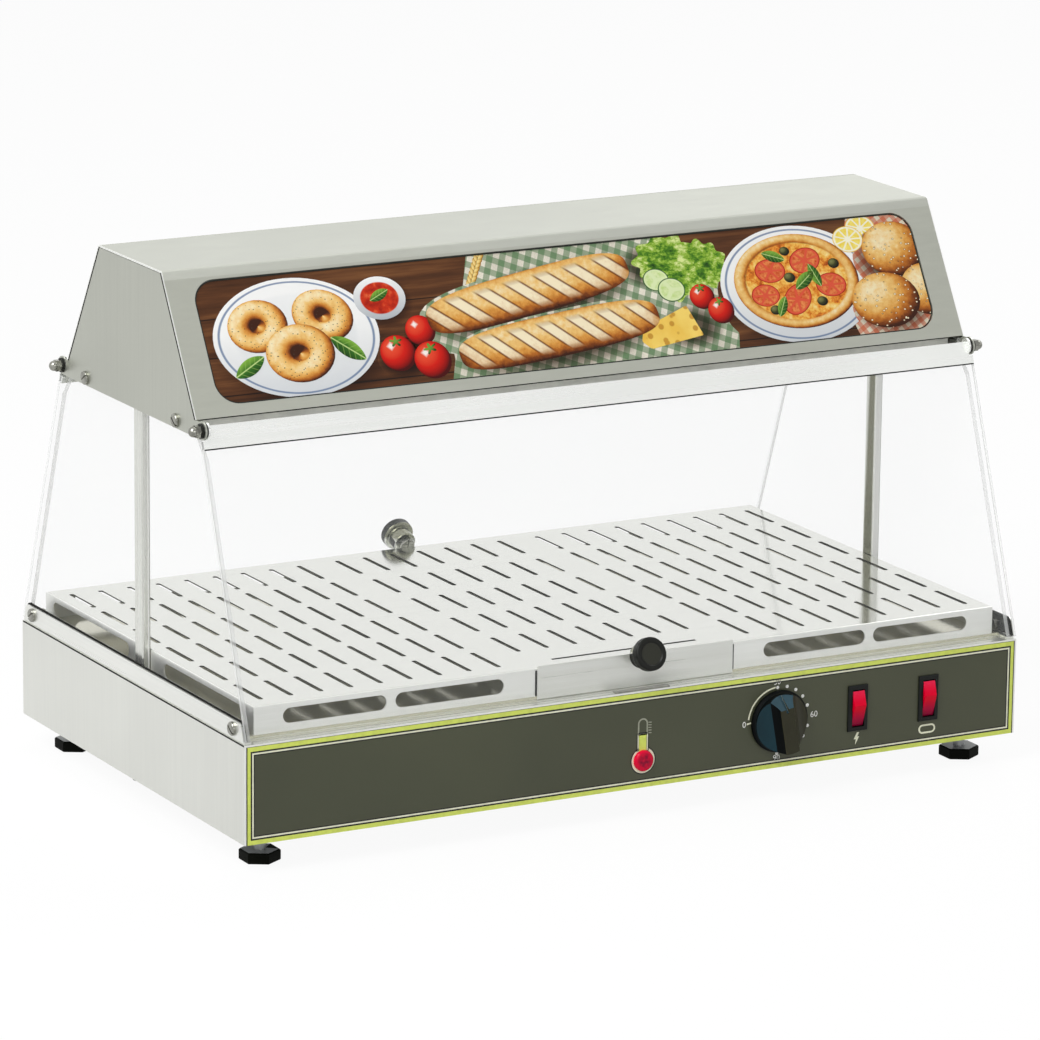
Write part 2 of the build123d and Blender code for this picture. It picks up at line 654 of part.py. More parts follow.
def heating_element():
    """One bent tube that runs to and fro under the deck."""
    bend = (ELEMENT_ROWS[1] - ELEMENT_ROWS[0]) / 2
    start, finish = ELEMENT_LEADS
    tip = BULKHEAD_Y - ELEMENT_LEAD_TIP
    corner = ELEMENT_CORNER_R
    turn = corner * sin(radians(45))
    row = ELEMENT_ROWS
    left = ELEMENT_LEFT
    right = ELEMENT_RIGHT
    z = ELEMENT_Z
    path = [
        Line((start, tip, z), (start, row[0] - corner, z)),
        ThreePointArc(
            (start, row[0] - corner, z),
            (start - corner + turn, row[0] - corner + turn, z),
            (start - corner, row[0], z),
        ),
        Line((start - corner, row[0], z), (left, row[0], z)),
        ThreePointArc((left, row[0], z), (left - bend, row[0] + bend, z), (left, row[1], z)),
        Line((left, row[1], z), (right, row[1], z)),
        ThreePointArc((right, row[1], z), (right + bend, row[1] + bend, z), (right, row[2], z)),
        Line((right, row[2], z), (left, row[2], z)),
        ThreePointArc((left, row[2], z), (left - bend, row[2] + bend, z), (left, row[3], z)),
        Line((left, row[3], z), (finish - corner, row[3], z)),
        ThreePointArc(
            (finish - corner, row[3], z),
            (finish - corner + turn, row[3] - corner + turn, z),
            (finish, row[3] - corner, z),
        ),
        Line((finish, row[3] - corner, z), (finish, tip, z)),
    ]
    wire = Wire([edge for piece in path for edge in piece.edges()])
    profile = Plane(origin=(start, tip, z), z_dir=(0, 1, 0)) * Circle(ELEMENT_R)
    return sweep(profile, path=wire)


def element_supports():
    """Hangers under the deck with a hole for each run of the element."""
    supports = []
    front = ELEMENT_ROWS[0] - SUPPORT_MARGIN
    rear = ELEMENT_ROWS[3] + SUPPORT_MARGIN
    for x in SUPPORT_X:
        hanger = block(x, x + SHEET, front, rear, ELEMENT_Z - SUPPORT_DROP, DECK_UNDERSIDE)
        hanger += block(x, x + FLANGE, front, rear, DECK_UNDERSIDE - SHEET, DECK_UNDERSIDE)
        for y in ELEMENT_ROWS:
            hanger -= rod_x(x - 1, x + SHEET + 1, y, ELEMENT_Z, ELEMENT_R + RUNNING)
        supports.append(hanger)
    return group(supports)


def terminal_block():
    """Three-pole block for the mains wires."""
    top = PLATE_TOP + BLOCK_HEIGHT
    groove = PLATE_TOP + BLOCK_GROOVE_Z
    front = BLOCK_Y - BLOCK_HALF_Y
    rear = BLOCK_Y + BLOCK_HALF_Y
    body = block(GLAND_X - BLOCK_HALF_X, GLAND_X + BLOCK_HALF_X, front, rear, PLATE_TOP, top)
    for pole in (-1, 0, 1):
        x = GLAND_X + pole * BLOCK_PITCH
        body -= block(x - BLOCK_GROOVE_HALF, x + BLOCK_GROOVE_HALF, front - 1, rear + 1, groove, top + 1)
        for side in SIDES:
            y = BLOCK_Y + side * BLOCK_SCREW_Y
            body -= rod_z(PLATE_TOP + BLOCK_SCREW_FLOOR, groove + 1, x, y, BLOCK_SCREW_R)
    return body


def cable_gland():
    """Inlet in the rear wall, with its rubber seal drawn closed."""
    rear = HALF_DEPTH
    tip = rear + GLAND_REACH
    inside = rear - SHEET
    gland = rod_y(inside - GLAND_THREAD, rear, GLAND_X, GLAND_Z, GLAND_R)
    collar = RegularPolygon(GLAND_R + GLAND_HEX_MARGIN, 6, major_radius=False)
    flange = Plane(origin=(GLAND_X, rear, GLAND_Z), x_dir=(1, 0, 0), z_dir=(0, 1, 0))
    gland += extrude(flange * collar, GLAND_HEX)
    cap = rod_y(rear + GLAND_HEX, tip, GLAND_X, GLAND_Z, GLAND_R + GLAND_CAP_MARGIN)
    gland += fillet(cap.edges().filter_by(GeomType.CIRCLE).sort_by(Axis.Y)[-1], GLAND_CAP_ROUND)
    nut = Plane(origin=(GLAND_X, inside - GLAND_HEX, GLAND_Z), x_dir=(1, 0, 0), z_dir=(0, 1, 0))
    gland += extrude(nut * collar, GLAND_HEX)
    gland -= rod_y(tip - GLAND_MOUTH_DEPTH, tip + 1, GLAND_X, GLAND_Z, GLAND_MOUTH_R)
    return gland


def strikes():
    """Small plates on the rim that the doors come down on."""
    plate = block(
        -STRIKE_HALF,
        STRIKE_HALF,
        -STRIKE_Y - STRIKE_DEPTH / 2,
        -STRIKE_Y + STRIKE_DEPTH / 2,
        RIM_TOP,
        RIM_TOP + STRIKE_THICKNESS,
    )
    return group([plate, mirrored_y(plate)])


# Controls

def blade(x, y, z, half_x, half_z):
    """A flat terminal that stands back from y."""
    return block(x - half_x, x + half_x, y, y + TERMINAL_LENGTH, z - half_z, z + half_z)


def thermostat_body():
    """Capillary thermostat with the collar its shaft turns in."""
    half_x = THERMOSTAT_WIDTH / 2
    half_z = THERMOSTAT_HEIGHT / 2
    front = WALL_BACK
    back = front + THERMOSTAT_DEPTH
    body = block(DIAL_X - half_x, DIAL_X + half_x, front, back, CONTROL_Z - half_z, CONTROL_Z + half_z)
    body += rod_y(PANEL_FACE, front, DIAL_X, CONTROL_Z, COLLAR_R)
    body -= rod_y(PANEL_FACE - 1, front + SHAFT_DEPTH + 1, DIAL_X, CONTROL_Z, SHAFT_R + RUNNING)
    for side in SIDES:
        x = DIAL_X + side * THERMOSTAT_SCREW_X
        body -= rod_y(front - 1, front + THERMOSTAT_SCREW_DEPTH, x, CONTROL_Z, THERMOSTAT_SCREW_R)
        blade_x = DIAL_X + side * THERMOSTAT_BLADE_X
        body += blade(blade_x, back, CONTROL_Z, THERMOSTAT_BLADE_HALF, BLADE_THICKNESS / 2)
    return body


def thermostat_screws():
    """The two screws hidden under the knob."""
    screws = []
    tip = WALL_BACK + THERMOSTAT_SCREW_DEPTH
    for side in SIDES:
        x = DIAL_X + side * THERMOSTAT_SCREW_X
        head = rod_y(PANEL_FACE - THERMOSTAT_HEAD, PANEL_FACE, x, CONTROL_Z, THERMOSTAT_HEAD_R)
        screws.append(head + rod_y(PANEL_FACE, tip, x, CONTROL_Z, THERMOSTAT_SCREW_R))
    return group(screws)


def thermostat_bulb():
    """Copper sensor bulb under the deck and its capillary tube, whose corners are round balls."""
    back = WALL_BACK + THERMOSTAT_DEPTH
    rise = back + CAPILLARY_OUT
    low = CONTROL_Z + THERMOSTAT_HEIGHT / 2 - CAPILLARY_DROP
    bend = BULKHEAD_Y + CAPILLARY_PAST_BULKHEAD
    stop = ELEMENT_ROWS[0] + BULB_FROM_ROW
    high = DECK_UNDERSIDE - BULB_R
    tube = rod_y(back, rise, DIAL_X, low, CAPILLARY_R)
    tube += rod_z(low, ELEMENT_Z, DIAL_X, rise, CAPILLARY_R)
    tube += rod_y(rise, bend, DIAL_X, ELEMENT_Z, CAPILLARY_R)
    tube += rod_z(ELEMENT_Z, high, DIAL_X, bend, CAPILLARY_R)
    tube += rod_y(bend, stop, DIAL_X, high, CAPILLARY_R)
    for y, z in ((rise, low), (rise, ELEMENT_Z), (bend, ELEMENT_Z), (bend, high)):
        tube += Pos(DIAL_X, y, z) * Sphere(CAPILLARY_R)
    return tube + rod_y(stop, stop + BULB_LENGTH, DIAL_X, high, BULB_R)


def shaft_flat(front, back):
    """What the flat on the shaft takes off its round, between two depths."""
    return block(-SHAFT_R, SHAFT_R, front, back, SHAFT_R - SHAFT_FLAT, SHAFT_R + 1)


def thermostat_shaft():
    """The shaft with a flat that the knob is pushed onto."""
    tip = PANEL_FACE - KNOB_REACH + SHAFT_IN_KNOB
    shaft = rod_y(tip, WALL_BACK + SHAFT_DEPTH, DIAL_X, CONTROL_Z, SHAFT_R)
    flat = shaft_flat(tip - 1, PANEL_FACE - SKIRT_GAP - KNOB_HOLLOW - GAP)
    return shaft - Pos(DIAL_X, 0, CONTROL_Z) * Rot(0, -DIAL_TURN, 0) * flat


def thermostat_knob():
    """Round skirt with a scooped grip bar and a grooved pointer end, pointing up before it is turned."""
    back = -SKIRT_GAP
    skirt_front = back - SKIRT_THICKNESS
    front = -KNOB_REACH
    above = SKIRT_R + 3
    skirt = rod_y(skirt_front, back, 0, 0, SKIRT_R)
    skirt = chamfer(skirt.edges().filter_by(GeomType.CIRCLE).sort_by(Axis.Y)[0], SKIRT_CHAMFER)
    grip = rod_y(front, skirt_front, 0, 0, GRIP_R)
    for side in SIDES:
        grip -= rod_z(-GRIP_R - 1, GRIP_R + 1, side * SCOOP_X, front - SCOOP_FORWARD, SCOOP_R)
    nose_foot = skirt_front - NOSE_LIFT
    nose = [(front - 1, NOSE_START), (front - 1, above), (nose_foot, above), (nose_foot, NOSE_END)]
    knob = skirt + grip - prism_x(nose, -above, above) - groove_cut(front)
    hollow = rod_y(back - KNOB_HOLLOW, back + 1, 0, 0, SKIRT_R - KNOB_WALL)
    hollow -= rod_y(back - KNOB_HOLLOW - 1, back + 2, 0, 0, SHAFT_R + KNOB_WALL + 1)
    bore = rod_y(front + SHAFT_IN_KNOB, back + 1, 0, 0, SHAFT_R)
    bore -= shaft_flat(front + SHAFT_IN_KNOB - 1, back - KNOB_HOLLOW - GAP)
    knob = knob - hollow - bore
    return Pos(DIAL_X, PANEL_FACE, CONTROL_Z) * Rot(0, -DIAL_TURN, 0) * knob


def groove_cut(front):
    """The pointer groove along the sloped end of the grip."""
    end = POINTER_START + POINTER_LENGTH
    fall = front + POINTER_FALL
    points = [
        (front - 2, POINTER_START),
        (front + POINTER_DEPTH, POINTER_START),
        (fall + POINTER_DEPTH, end),
        (front - 2, end),
    ]
    return prism_x(points, -POINTER_WIDTH / 2, POINTER_WIDTH / 2)


def pilot_lens():
    """The red lens that stands on the panel."""
    lens = rod_y(PANEL_FACE - LENS_REACH, PANEL_FACE, 0, LAMP_Z, LENS_R)
    return fillet(lens.edges().filter_by(GeomType.CIRCLE).sort_by(Axis.Y)[0], LENS_ROUND)


def pilot_lamp_body():
    """Neck, barrel and two blades of the pilot lamp."""
    end = WALL_BACK + LAMP_BODY_LENGTH
    body = rod_y(PANEL_FACE, WALL_BACK, 0, LAMP_Z, LAMP_NECK_R)
    body += rod_y(WALL_BACK, end, 0, LAMP_Z, LAMP_BODY_R)
    for side in SIDES:
        body += blade(side * LAMP_BLADE_X, end, LAMP_Z, BLADE_THICKNESS / 2, BLADE_HALF)
    return body


def rocker_pivot_y():
    """Depth of the rocker's pivot pins behind the panel's face."""
    return PANEL_FACE + ROCKER_PIVOT_DEPTH


def switch_housing(x):
    """One switch body with its bezel and the pocket for its rocker."""
    half_x = SWITCH_WIDTH / 2
    half_z = SWITCH_HEIGHT / 2
    bezel_x = BEZEL_WIDTH / 2
    bezel_z = BEZEL_HEIGHT / 2
    pocket_x = ROCKER_WIDTH / 2 + GAP
    pocket_z = ROCKER_HEIGHT / 2 + ROCKER_CLEARANCE
    lip = PANEL_FACE - BEZEL_THICKNESS
    back = PANEL_FACE + SWITCH_DEPTH
    floor = PANEL_FACE + ROCKER_POCKET
    bezel = block(x - bezel_x, x + bezel_x, lip, PANEL_FACE, SWITCH_Z - bezel_z, SWITCH_Z + bezel_z)
    body = chamfer(bezel.faces().sort_by(Axis.Y)[0].edges(), BEZEL_CHAMFER)
    body += block(x - half_x, x + half_x, PANEL_FACE, back, SWITCH_Z - half_z, SWITCH_Z + half_z)
    body -= block(x - pocket_x, x + pocket_x, lip - 1, floor, SWITCH_Z - pocket_z, SWITCH_Z + pocket_z)
    body -= rod_x(x - half_x, x + half_x, rocker_pivot_y(), SWITCH_Z, PIVOT_R + RUNNING)
    for step in (-1, 0, 1):
        z = SWITCH_Z + step * SWITCH_BLADE_PITCH
        body += blade(x, back, z, BLADE_HALF, BLADE_THICKNESS / 2)
    return body


def rocker(x):
    """One rocker with its ridge towards the top, tilted to the pressed side."""
    half = ROCKER_HEIGHT / 2
    front = PANEL_FACE - BEZEL_THICKNESS - rocker_pivot_y()
    points = [
        (front + 0.6, -half),
        (front - ROCKER_RIDGE_OUT, ROCKER_RIDGE_UP),
        (front + 1.0, half),
        (ROCKER_BACK, half - ROCKER_BACK_IN),
        (ROCKER_BACK, ROCKER_BACK_IN - half),
    ]
    body = prism_x(points, -ROCKER_WIDTH / 2, ROCKER_WIDTH / 2)
    pin_reach = SWITCH_WIDTH / 2 - GAP / 3
    body += rod_x(-pin_reach, pin_reach, 0, 0, PIVOT_R)
    return Pos(x, rocker_pivot_y(), SWITCH_Z) * Rot(ROCKER_TILT / 2, 0, 0) * body


# Tray

def slot_cut(x, y, length, width, z0, z1):
    """A round-ended slot along Y, cut from z0 to z1."""
    straight = length / 2 - width / 2
    cut = block(x - width / 2, x + width / 2, y - straight, y + straight, z0, z1)
    cut += rod_z(z0, z1, x, y - straight, width / 2)
    return cut + rod_z(z0, z1, x, y + straight, width / 2)


def grid_tray():
    """Slotted sheet folded down on all four sides."""
    z0 = DECK_TOP
    tray = block(-TRAY_HALF_X, TRAY_HALF_X, -TRAY_HALF_Y, TRAY_HALF_Y, z0, TRAY_TOP)
    inner_x = TRAY_HALF_X - TRAY_SHEET
    inner_y = TRAY_HALF_Y - TRAY_SHEET
    tray -= block(-inner_x, inner_x, -inner_y, inner_y, z0 - 1, TRAY_TOP - TRAY_SHEET)
    tray = fillet(tray.edges().filter_by_position(Axis.Z, TRAY_TOP - 0.01, TRAY_TOP + 0.01), TRAY_BEND_R)
    cuts = top_slots() + skirt_slots()
    notch_y = POST_DEPTH / 2 + POST_NOTCH
    notch_x = POST_X - POST_WIDTH / 2 - POST_NOTCH
    for side in SIDES:
        cuts.append(block(side * notch_x, side * (TRAY_HALF_X + 1), -notch_y, notch_y, z0 - 1, TRAY_TOP + 1))
    mouth = DRAWER_OPENING_HALF
    cuts.append(block(-mouth, mouth, -TRAY_HALF_Y - 1, 1 - inner_y, z0 - 1, TRAY_TOP - DRAWER_OPENING_DROP))
    return tray - cuts


def top_slots():
    """Every slot in the top of the tray, and the long slit near its front edge."""
    low = TRAY_TOP - 2 * TRAY_SHEET
    high = TRAY_TOP + 1
    cuts = []
    for column in range(SIDE_SLOT_COLUMNS):
        x = SIDE_SLOT_START + column * SIDE_SLOT_PITCH
        for row in range(SIDE_SLOT_ROWS):
            y = (row - (SIDE_SLOT_ROWS - 1) / 2) * SIDE_ROW_PITCH
            cuts.append(slot_cut(x, y, SLOT_LENGTH, SLOT_WIDTH, low, high))
            cuts.append(slot_cut(-x, y, SLOT_LENGTH, SLOT_WIDTH, low, high))
    for column in range(CENTRE_SLOT_COLUMNS):
        x = (column - (CENTRE_SLOT_COLUMNS - 1) / 2) * CENTRE_SLOT_PITCH
        for row in range(CENTRE_SLOT_ROWS):
            y = CENTRE_ROW_MIDDLE + (row - (CENTRE_SLOT_ROWS - 1) / 2) * CENTRE_ROW_PITCH
            cuts.append(slot_cut(x, y, SLOT_LENGTH, SLOT_WIDTH, low, high))
    slit_front = FRONT_SLIT_Y - FRONT_SLIT_WIDTH / 2
    slit_rear = FRONT_SLIT_Y + FRONT_SLIT_WIDTH / 2
    cuts.append(block(-FRONT_SLIT_HALF, FRONT_SLIT_HALF, slit_front, slit_rear, low, high))
    return cuts


def skirt_slots():
    """Long round-ended slots in the folded sides."""
    cuts = []
    radius = SKIRT_SLOT_HEIGHT / 2
    z0 = SKIRT_SLOT_Z - radius
    z1 = SKIRT_SLOT_Z + radius
    reach = 2 * TRAY_SHEET
    for start, end in FRONT_SKIRT_SLOTS:
        for side in SIDES:
            a = side * (start + radius)
            b = side * (end - radius)
            for y in (-TRAY_HALF_Y, TRAY_HALF_Y):
                cut = block(min(a, b), max(a, b), y - reach, y + reach, z0, z1)
                cut += rod_y(y - reach, y + reach, a, SKIRT_SLOT_Z, radius)
                cuts.append(cut + rod_y(y - reach, y + reach, b, SKIRT_SLOT_Z, radius))
    start = SIDE_SKIRT_SLOT[0] + radius
    end = SIDE_SKIRT_SLOT[1] - radius
    for x in (-TRAY_HALF_X, TRAY_HALF_X):
        for side in SIDES:
            cut = block(x - reach, x + reach, side * start, side * end, z0, z1)
            cut += rod_x(x - reach, x + reach, side * start, SKIRT_SLOT_Z, radius)
            cuts.append(cut + rod_x(x - reach, x + reach, side * end, SKIRT_SLOT_Z, radius))
    return cuts


def water_drawer():
    """Shallow pan for water under the middle of the grid, with the plain plate that closes its front."""
    front = -TRAY_HALF_Y
    rear = TRAY_HALF_Y - DRAWER_REAR_MARGIN
    top = DECK_TOP + DRAWER_PAN_HEIGHT
    half = DRAWER_PAN_HALF
    inner = half - TRAY_SHEET
    floor = DECK_TOP + TRAY_SHEET
    pan = block(-half, half, front, rear, DECK_TOP, top)
    pan -= block(-inner, inner, front + TRAY_SHEET, rear - TRAY_SHEET, floor, top + 1)
    low = DECK_TOP - DRAWER_FRONT_DROP
    high = TRAY_TOP + DRAWER_FRONT_RISE
    return pan + block(-DRAWER_HALF, DRAWER_HALF, front - TRAY_SHEET, front, low, high)


# Side rails, panes and posts

def slanted_y(z, inset):
    """Y of a line parallel to the closed door, set in from the hinge plane, at height z."""
    down = (HINGE_Z - z - inset * DOOR_SIN) / DOOR_COS
    return -HINGE_Y - down * DOOR_SIN + inset * DOOR_COS


def side_rails():
    """Angle rails that hold the foot of each side pane."""
    outer = HALF_WIDTH
    leaf_inner = outer - RAIL_THICKNESS
    foot_top = RIM_TOP + SHEET
    top = foot_top + RAIL_RISE - SHEET
    inset = RAIL_TO_DOOR - DOOR_INNER
    points = [
        (slanted_y(foot_top, inset), foot_top),
        (slanted_y(top, inset), top),
        (-slanted_y(top, inset), top),
        (-slanted_y(foot_top, inset), foot_top),
    ]
    leaf = prism_x(points, leaf_inner, outer)
    leaf = fillet(leaf.edges().filter_by(Axis.X).group_by(Axis.Z)[-1], RAIL_CORNER_R)
    end = slanted_y(foot_top, inset)
    foot_outer = outer - RAIL_FOOT_INSET
    foot = block(foot_outer - RAIL_FOOT, foot_outer, end, -end, RIM_TOP, foot_top)
    rail = leaf + foot
    for y in (-RAIL_SCREW_Y, RAIL_SCREW_Y):
        rail -= rod_x(leaf_inner - 1, outer + 1, y, RAIL_SCREW_Z, SCREW_R)
    return group(both_x(rail))


def rail_screws():
    """Slotted screws through rail, spacer and pane, with a nut inside."""
    outer = HALF_WIDTH
    inner = SIDE_PANE_INNER
    screw = pan_screw_x(outer, inner - SCREW_NUT, -RAIL_SCREW_Y, RAIL_SCREW_Z)
    screw += hex_x(inner - SCREW_NUT, inner, -RAIL_SCREW_Y, RAIL_SCREW_Z, SCREW_NUT_FLATS)
    return group(all_corners(screw))


def rail_spacers():
    """Washers that fill the space between rail and pane."""
    leaf_inner = HALF_WIDTH - RAIL_THICKNESS
    washer = rod_x(SIDE_PANE_OUTER, leaf_inner, -RAIL_SCREW_Y, RAIL_SCREW_Z, SCREW_HEAD_R)
    washer -= rod_x(SIDE_PANE_OUTER - 1, leaf_inner + 1, -RAIL_SCREW_Y, RAIL_SCREW_Z, SCREW_R)
    return group(all_corners(washer))


def side_pane(side):
    """Clear trapezoid that stands in a rail and is clamped behind a hood cap."""
    bottom = RIM_TOP + SHEET
    low = slanted_y(bottom, SIDE_PANE_INSET)
    shoulder = slanted_y(PANE_SHOULDER_Z, SIDE_PANE_INSET)
    right = [
        (-low, bottom),
        (-shoulder, PANE_SHOULDER_Z),
        (PANE_NECK_Y, PANE_NECK_Z),
        (PANE_NECK_Y, PANE_HEAD_Z),
    ]
    left = [(-y, z) for y, z in reversed(right)]
    pane = prism_x(right + left, SIDE_PANE_INNER, SIDE_PANE_OUTER)
    for end in SIDES:
        for y, z in ((end * RAIL_SCREW_Y, RAIL_SCREW_Z), (end * CAP_SCREW_Y, CAP_SCREW_Z)):
            pane -= rod_x(SIDE_PANE_INNER - 1, SIDE_PANE_OUTER + 1, y, z, SCREW_R)
    if side < 0:
        return mirrored_x(pane)
    return pane


def posts():
    """Flat tubes from the deck to the hood floor."""
    x0 = POST_X - POST_WIDTH / 2
    x1 = POST_X + POST_WIDTH / 2
    y = POST_DEPTH / 2
    tube = block(x0, x1, -y, y, DECK_TOP, FLOOR_BOTTOM)
    tube = fillet(tube.edges().filter_by(Axis.Z), POST_ROUND)
    inner_y = y - POST_WALL
    tube -= block(x0 + POST_WALL, x1 - POST_WALL, -inner_y, inner_y, DECK_TOP - 1, FLOOR_BOTTOM + 1)
    return group(both_x(tube))


# Hood

def hood_half_y(z, inset=0.0):
    """Half depth of the hood's slopes at height z, less a sideways inset."""
    return HOOD_EDGE_HALF - (z - HOOD_EDGE_Z) * HOOD_SLOPE_RUN / HOOD_HEIGHT - inset


def hood_profile(z0, z1, inset):
    """Trapezoid across the hood from z0 to z1."""
    low = hood_half_y(z0, inset)
    high = hood_half_y(z1, inset)
    return [(-low, z0), (-high, z1), (high, z1), (low, z0)]


def slope_plane():
    """Plane of the front slope: origin at its top edge, +Y up the slope, +Z outwards."""
    return Plane(origin=(0, -HOOD_TOP_HALF, HOOD_TOP), x_dir=(1, 0, 0), z_dir=(0, -SLOPE_SIN, SLOPE_COS))


def hood_shell():
    """One sheet bent over the top, with the picture window in the front slope."""
    half = HOOD_HALF_X
    outer = prism_x(hood_profile(HOOD_EDGE_Z, HOOD_TOP, 0), -half, half)
    bends = outer.edges().filter_by(Axis.X).group_by(Axis.Z)[-1]
    outer = fillet(bends, HOOD_BEND_R)
    inner_top = HOOD_TOP - SHEET
    inner = prism_x(hood_profile(HOOD_EDGE_Z - 1, inner_top, SHEET_SIDEWAYS), -half - 1, half + 1)
    inner = fillet(inner.edges().filter_by(Axis.X).group_by(Axis.Z)[-1], HOOD_BEND_R - SHEET)
    shell = outer - inner
    lip_half = SIDE_PANE_OUTER - GAP
    lip_inner = HOOD_EDGE_HALF - HOOD_LIP
    lip_outer = hood_half_y(HOOD_EDGE_Z + SHEET, SHEET_SIDEWAYS) + SHEET / 2
    lip_top = HOOD_EDGE_Z + SHEET
    for side in SIDES:
        shell += block(-lip_half, lip_half, side * lip_inner, side * lip_outer, HOOD_EDGE_Z, lip_top)
    opening = Pos(0, -WINDOW_MIDDLE) * RectangleRounded(2 * WINDOW_HALF, WINDOW_HEIGHT, WINDOW_R)
    return shell - extrude(slope_plane() * opening, 2 * SHEET, both=True)


def picture_panel():
    """Translucent panel behind the window."""
    width = 2 * (WINDOW_HALF + PICTURE_LAP_X)
    height = WINDOW_HEIGHT + 2 * PICTURE_LAP_Y
    sheet = Pos(0, -WINDOW_MIDDLE) * Rectangle(width, height)
    return extrude(slope_plane().offset(-SHEET) * sheet, -PICTURE_THICKNESS)


def hood_cap(side):
    """End plate with two hinge ears and a flange folded into the hood."""
    inner_top = HOOD_TOP - SHEET - GAP
    inset = SHEET_SIDEWAYS + GAP
    flange_z = HOOD_EDGE_Z + SHEET + GAP
    flange_inner = CAP_INNER - CAP_FLANGE
    cap = prism_x(hood_profile(FLOOR_BOTTOM + CAP_FOOT, inner_top, inset), CAP_INNER, CAP_OUTER)
    ring = prism_x(hood_profile(flange_z, inner_top, inset), flange_inner, CAP_INNER)
    hollow = hood_profile(flange_z - 1, inner_top - SHEET, inset + SHEET_SIDEWAYS)
    cap += ring - prism_x(hollow, flange_inner - 1, CAP_INNER + 1)
    cap += block(CAP_INNER, CAP_OUTER, -HINGE_Y, HINGE_Y, FLOOR_BOTTOM, HOOD_EDGE_Z - GAP)
    for y in (-HINGE_Y, HINGE_Y):
        cap += rod_x(CAP_INNER, CAP_OUTER, y, HINGE_Z, EAR_R)
    for y in (-HINGE_Y, HINGE_Y):
        cap -= rod_x(CAP_INNER - 1, CAP_OUTER + 1, y, HINGE_Z, STUD_R + RUNNING)
    for y in (-CAP_SCREW_Y, CAP_SCREW_Y):
        cap -= rod_x(CAP_INNER - 1, CAP_OUTER + 1, y, CAP_SCREW_Z, SCREW_R)
    if side < 0:
        return mirrored_x(cap)
    return cap


def cap_screws():
    """Slotted screws through cap, pane and hood floor, with a nut inside."""
    inner = SIDE_PANE_INNER - SHEET
    screw = pan_screw_x(CAP_OUTER, inner - SCREW_NUT, -CAP_SCREW_Y, CAP_SCREW_Z)
    screw += hex_x(inner - SCREW_NUT, inner, -CAP_SCREW_Y, CAP_SCREW_Z, CAP_NUT_FLATS)
    return group(all_corners(screw))


def hood_floor():
    """Folded pan that closes the hood from below around the diffuser."""
    end = SIDE_PANE_INNER
    flange_end = end - FLOOR_CORNER_GAP
    top = FLOOR_BOTTOM + SHEET
    floor = block(-end, end, -FLOOR_HALF_Y, FLOOR_HALF_Y, FLOOR_BOTTOM, top)
    for side in SIDES:
        y0 = side * (FLOOR_HALF_Y - SHEET)
        floor += block(-flange_end, flange_end, y0, side * FLOOR_HALF_Y, FLOOR_BOTTOM, HOOD_EDGE_Z)
        x0 = side * (end - SHEET)
        floor += block(x0, side * end, -FLOOR_END_HALF_Y, FLOOR_END_HALF_Y, FLOOR_BOTTOM, FLOOR_END_TOP)
    window_y = DIFFUSER_HALF_Y
    floor -= block(-DIFFUSER_HALF_X, DIFFUSER_HALF_X, -window_y, window_y, FLOOR_BOTTOM - 1, top + 1)
    for side in SIDES:
        for y in (-CAP_SCREW_Y, CAP_SCREW_Y):
            floor -= rod_x(side * (end - 2 * SHEET), side * (end + 1), y, CAP_SCREW_Z, SCREW_R)
    return floor


def lamp_diffuser():
    """Opal plate that lies over the opening in the hood floor."""
    x = DIFFUSER_HALF_X + DIFFUSER_LAP
    y = DIFFUSER_HALF_Y + DIFFUSER_LAP
    low = FLOOR_BOTTOM + SHEET
    return block(-x, x, -y, y, low, low + DIFFUSER_THICKNESS)


def lamp_tube():
    """Glass tube of the hood lamp."""
    half = TUBE_HALF - TUBE_CAP
    tube = rod_x(-half, half, 0, TUBE_Z, TUBE_R - TUBE_GLASS / 2)
    return tube - rod_x(-half - 1, half + 1, 0, TUBE_Z, TUBE_R - TUBE_GLASS * 1.5)


def lamp_caps():
    """Metal ends of the tube with their pins."""
    half = TUBE_HALF - TUBE_CAP
    cap = rod_x(half, TUBE_HALF, 0, TUBE_Z, TUBE_R)
    for y in (-TUBE_PIN_Y, TUBE_PIN_Y):
        cap += rod_x(TUBE_HALF, TUBE_HALF + TUBE_PIN_LENGTH, y, TUBE_Z, TUBE_PIN_R)
    return group(both_x(cap))


def lamp_holders():
    """Sockets that stand on the hood floor and hold the tube."""
    low = FLOOR_BOTTOM + SHEET
    half_y = HOLDER_DEPTH / 2
    holder = block(TUBE_HALF, TUBE_HALF + HOLDER_WIDTH, -half_y, half_y, low, TUBE_Z)
    holder += rod_x(TUBE_HALF, TUBE_HALF + HOLDER_WIDTH, 0, TUBE_Z, half_y)
    for y in (-TUBE_PIN_Y, TUBE_PIN_Y):
        holder -= rod_x(TUBE_HALF - 1, TUBE_HALF + TUBE_PIN_LENGTH, y, TUBE_Z, TUBE_PIN_R)
    return group(both_x(holder))


def lamp_reflector():
    """White trough hung under the hood's top."""
    top = HOOD_TOP - SHEET
    half_x = TUBE_HALF + REFLECTOR_OVERHANG
    y = REFLECTOR_HALF_Y
    trough = block(-half_x, half_x, -y, y, REFLECTOR_Z, top)
    trough -= block(-half_x - 1, half_x + 1, -y + SHEET, y - SHEET, REFLECTOR_Z - 1, top - SHEET)
    return trough


# Doors

def door_box(x0, x1, out0, out1, down0, down1):
    """A box in door measures, placed on the front door."""
    body = block(x0, x1, out0, out1, -down1, -down0)
    return front_door_frame() * body


def front_door_frame():
    """Frame at the front hinge axis with +Y out of the pane and -Z down the pane."""
    return Location(Plane(origin=(0, -HINGE_Y, HINGE_Z), x_dir=(-1, 0, 0), z_dir=(0, DOOR_SIN, DOOR_COS)))


def on_side(shape, side):
    """The piece on the front door, or its mirror image on the rear door."""
    if side < 0:
        return shape
    return mirrored_y(shape)


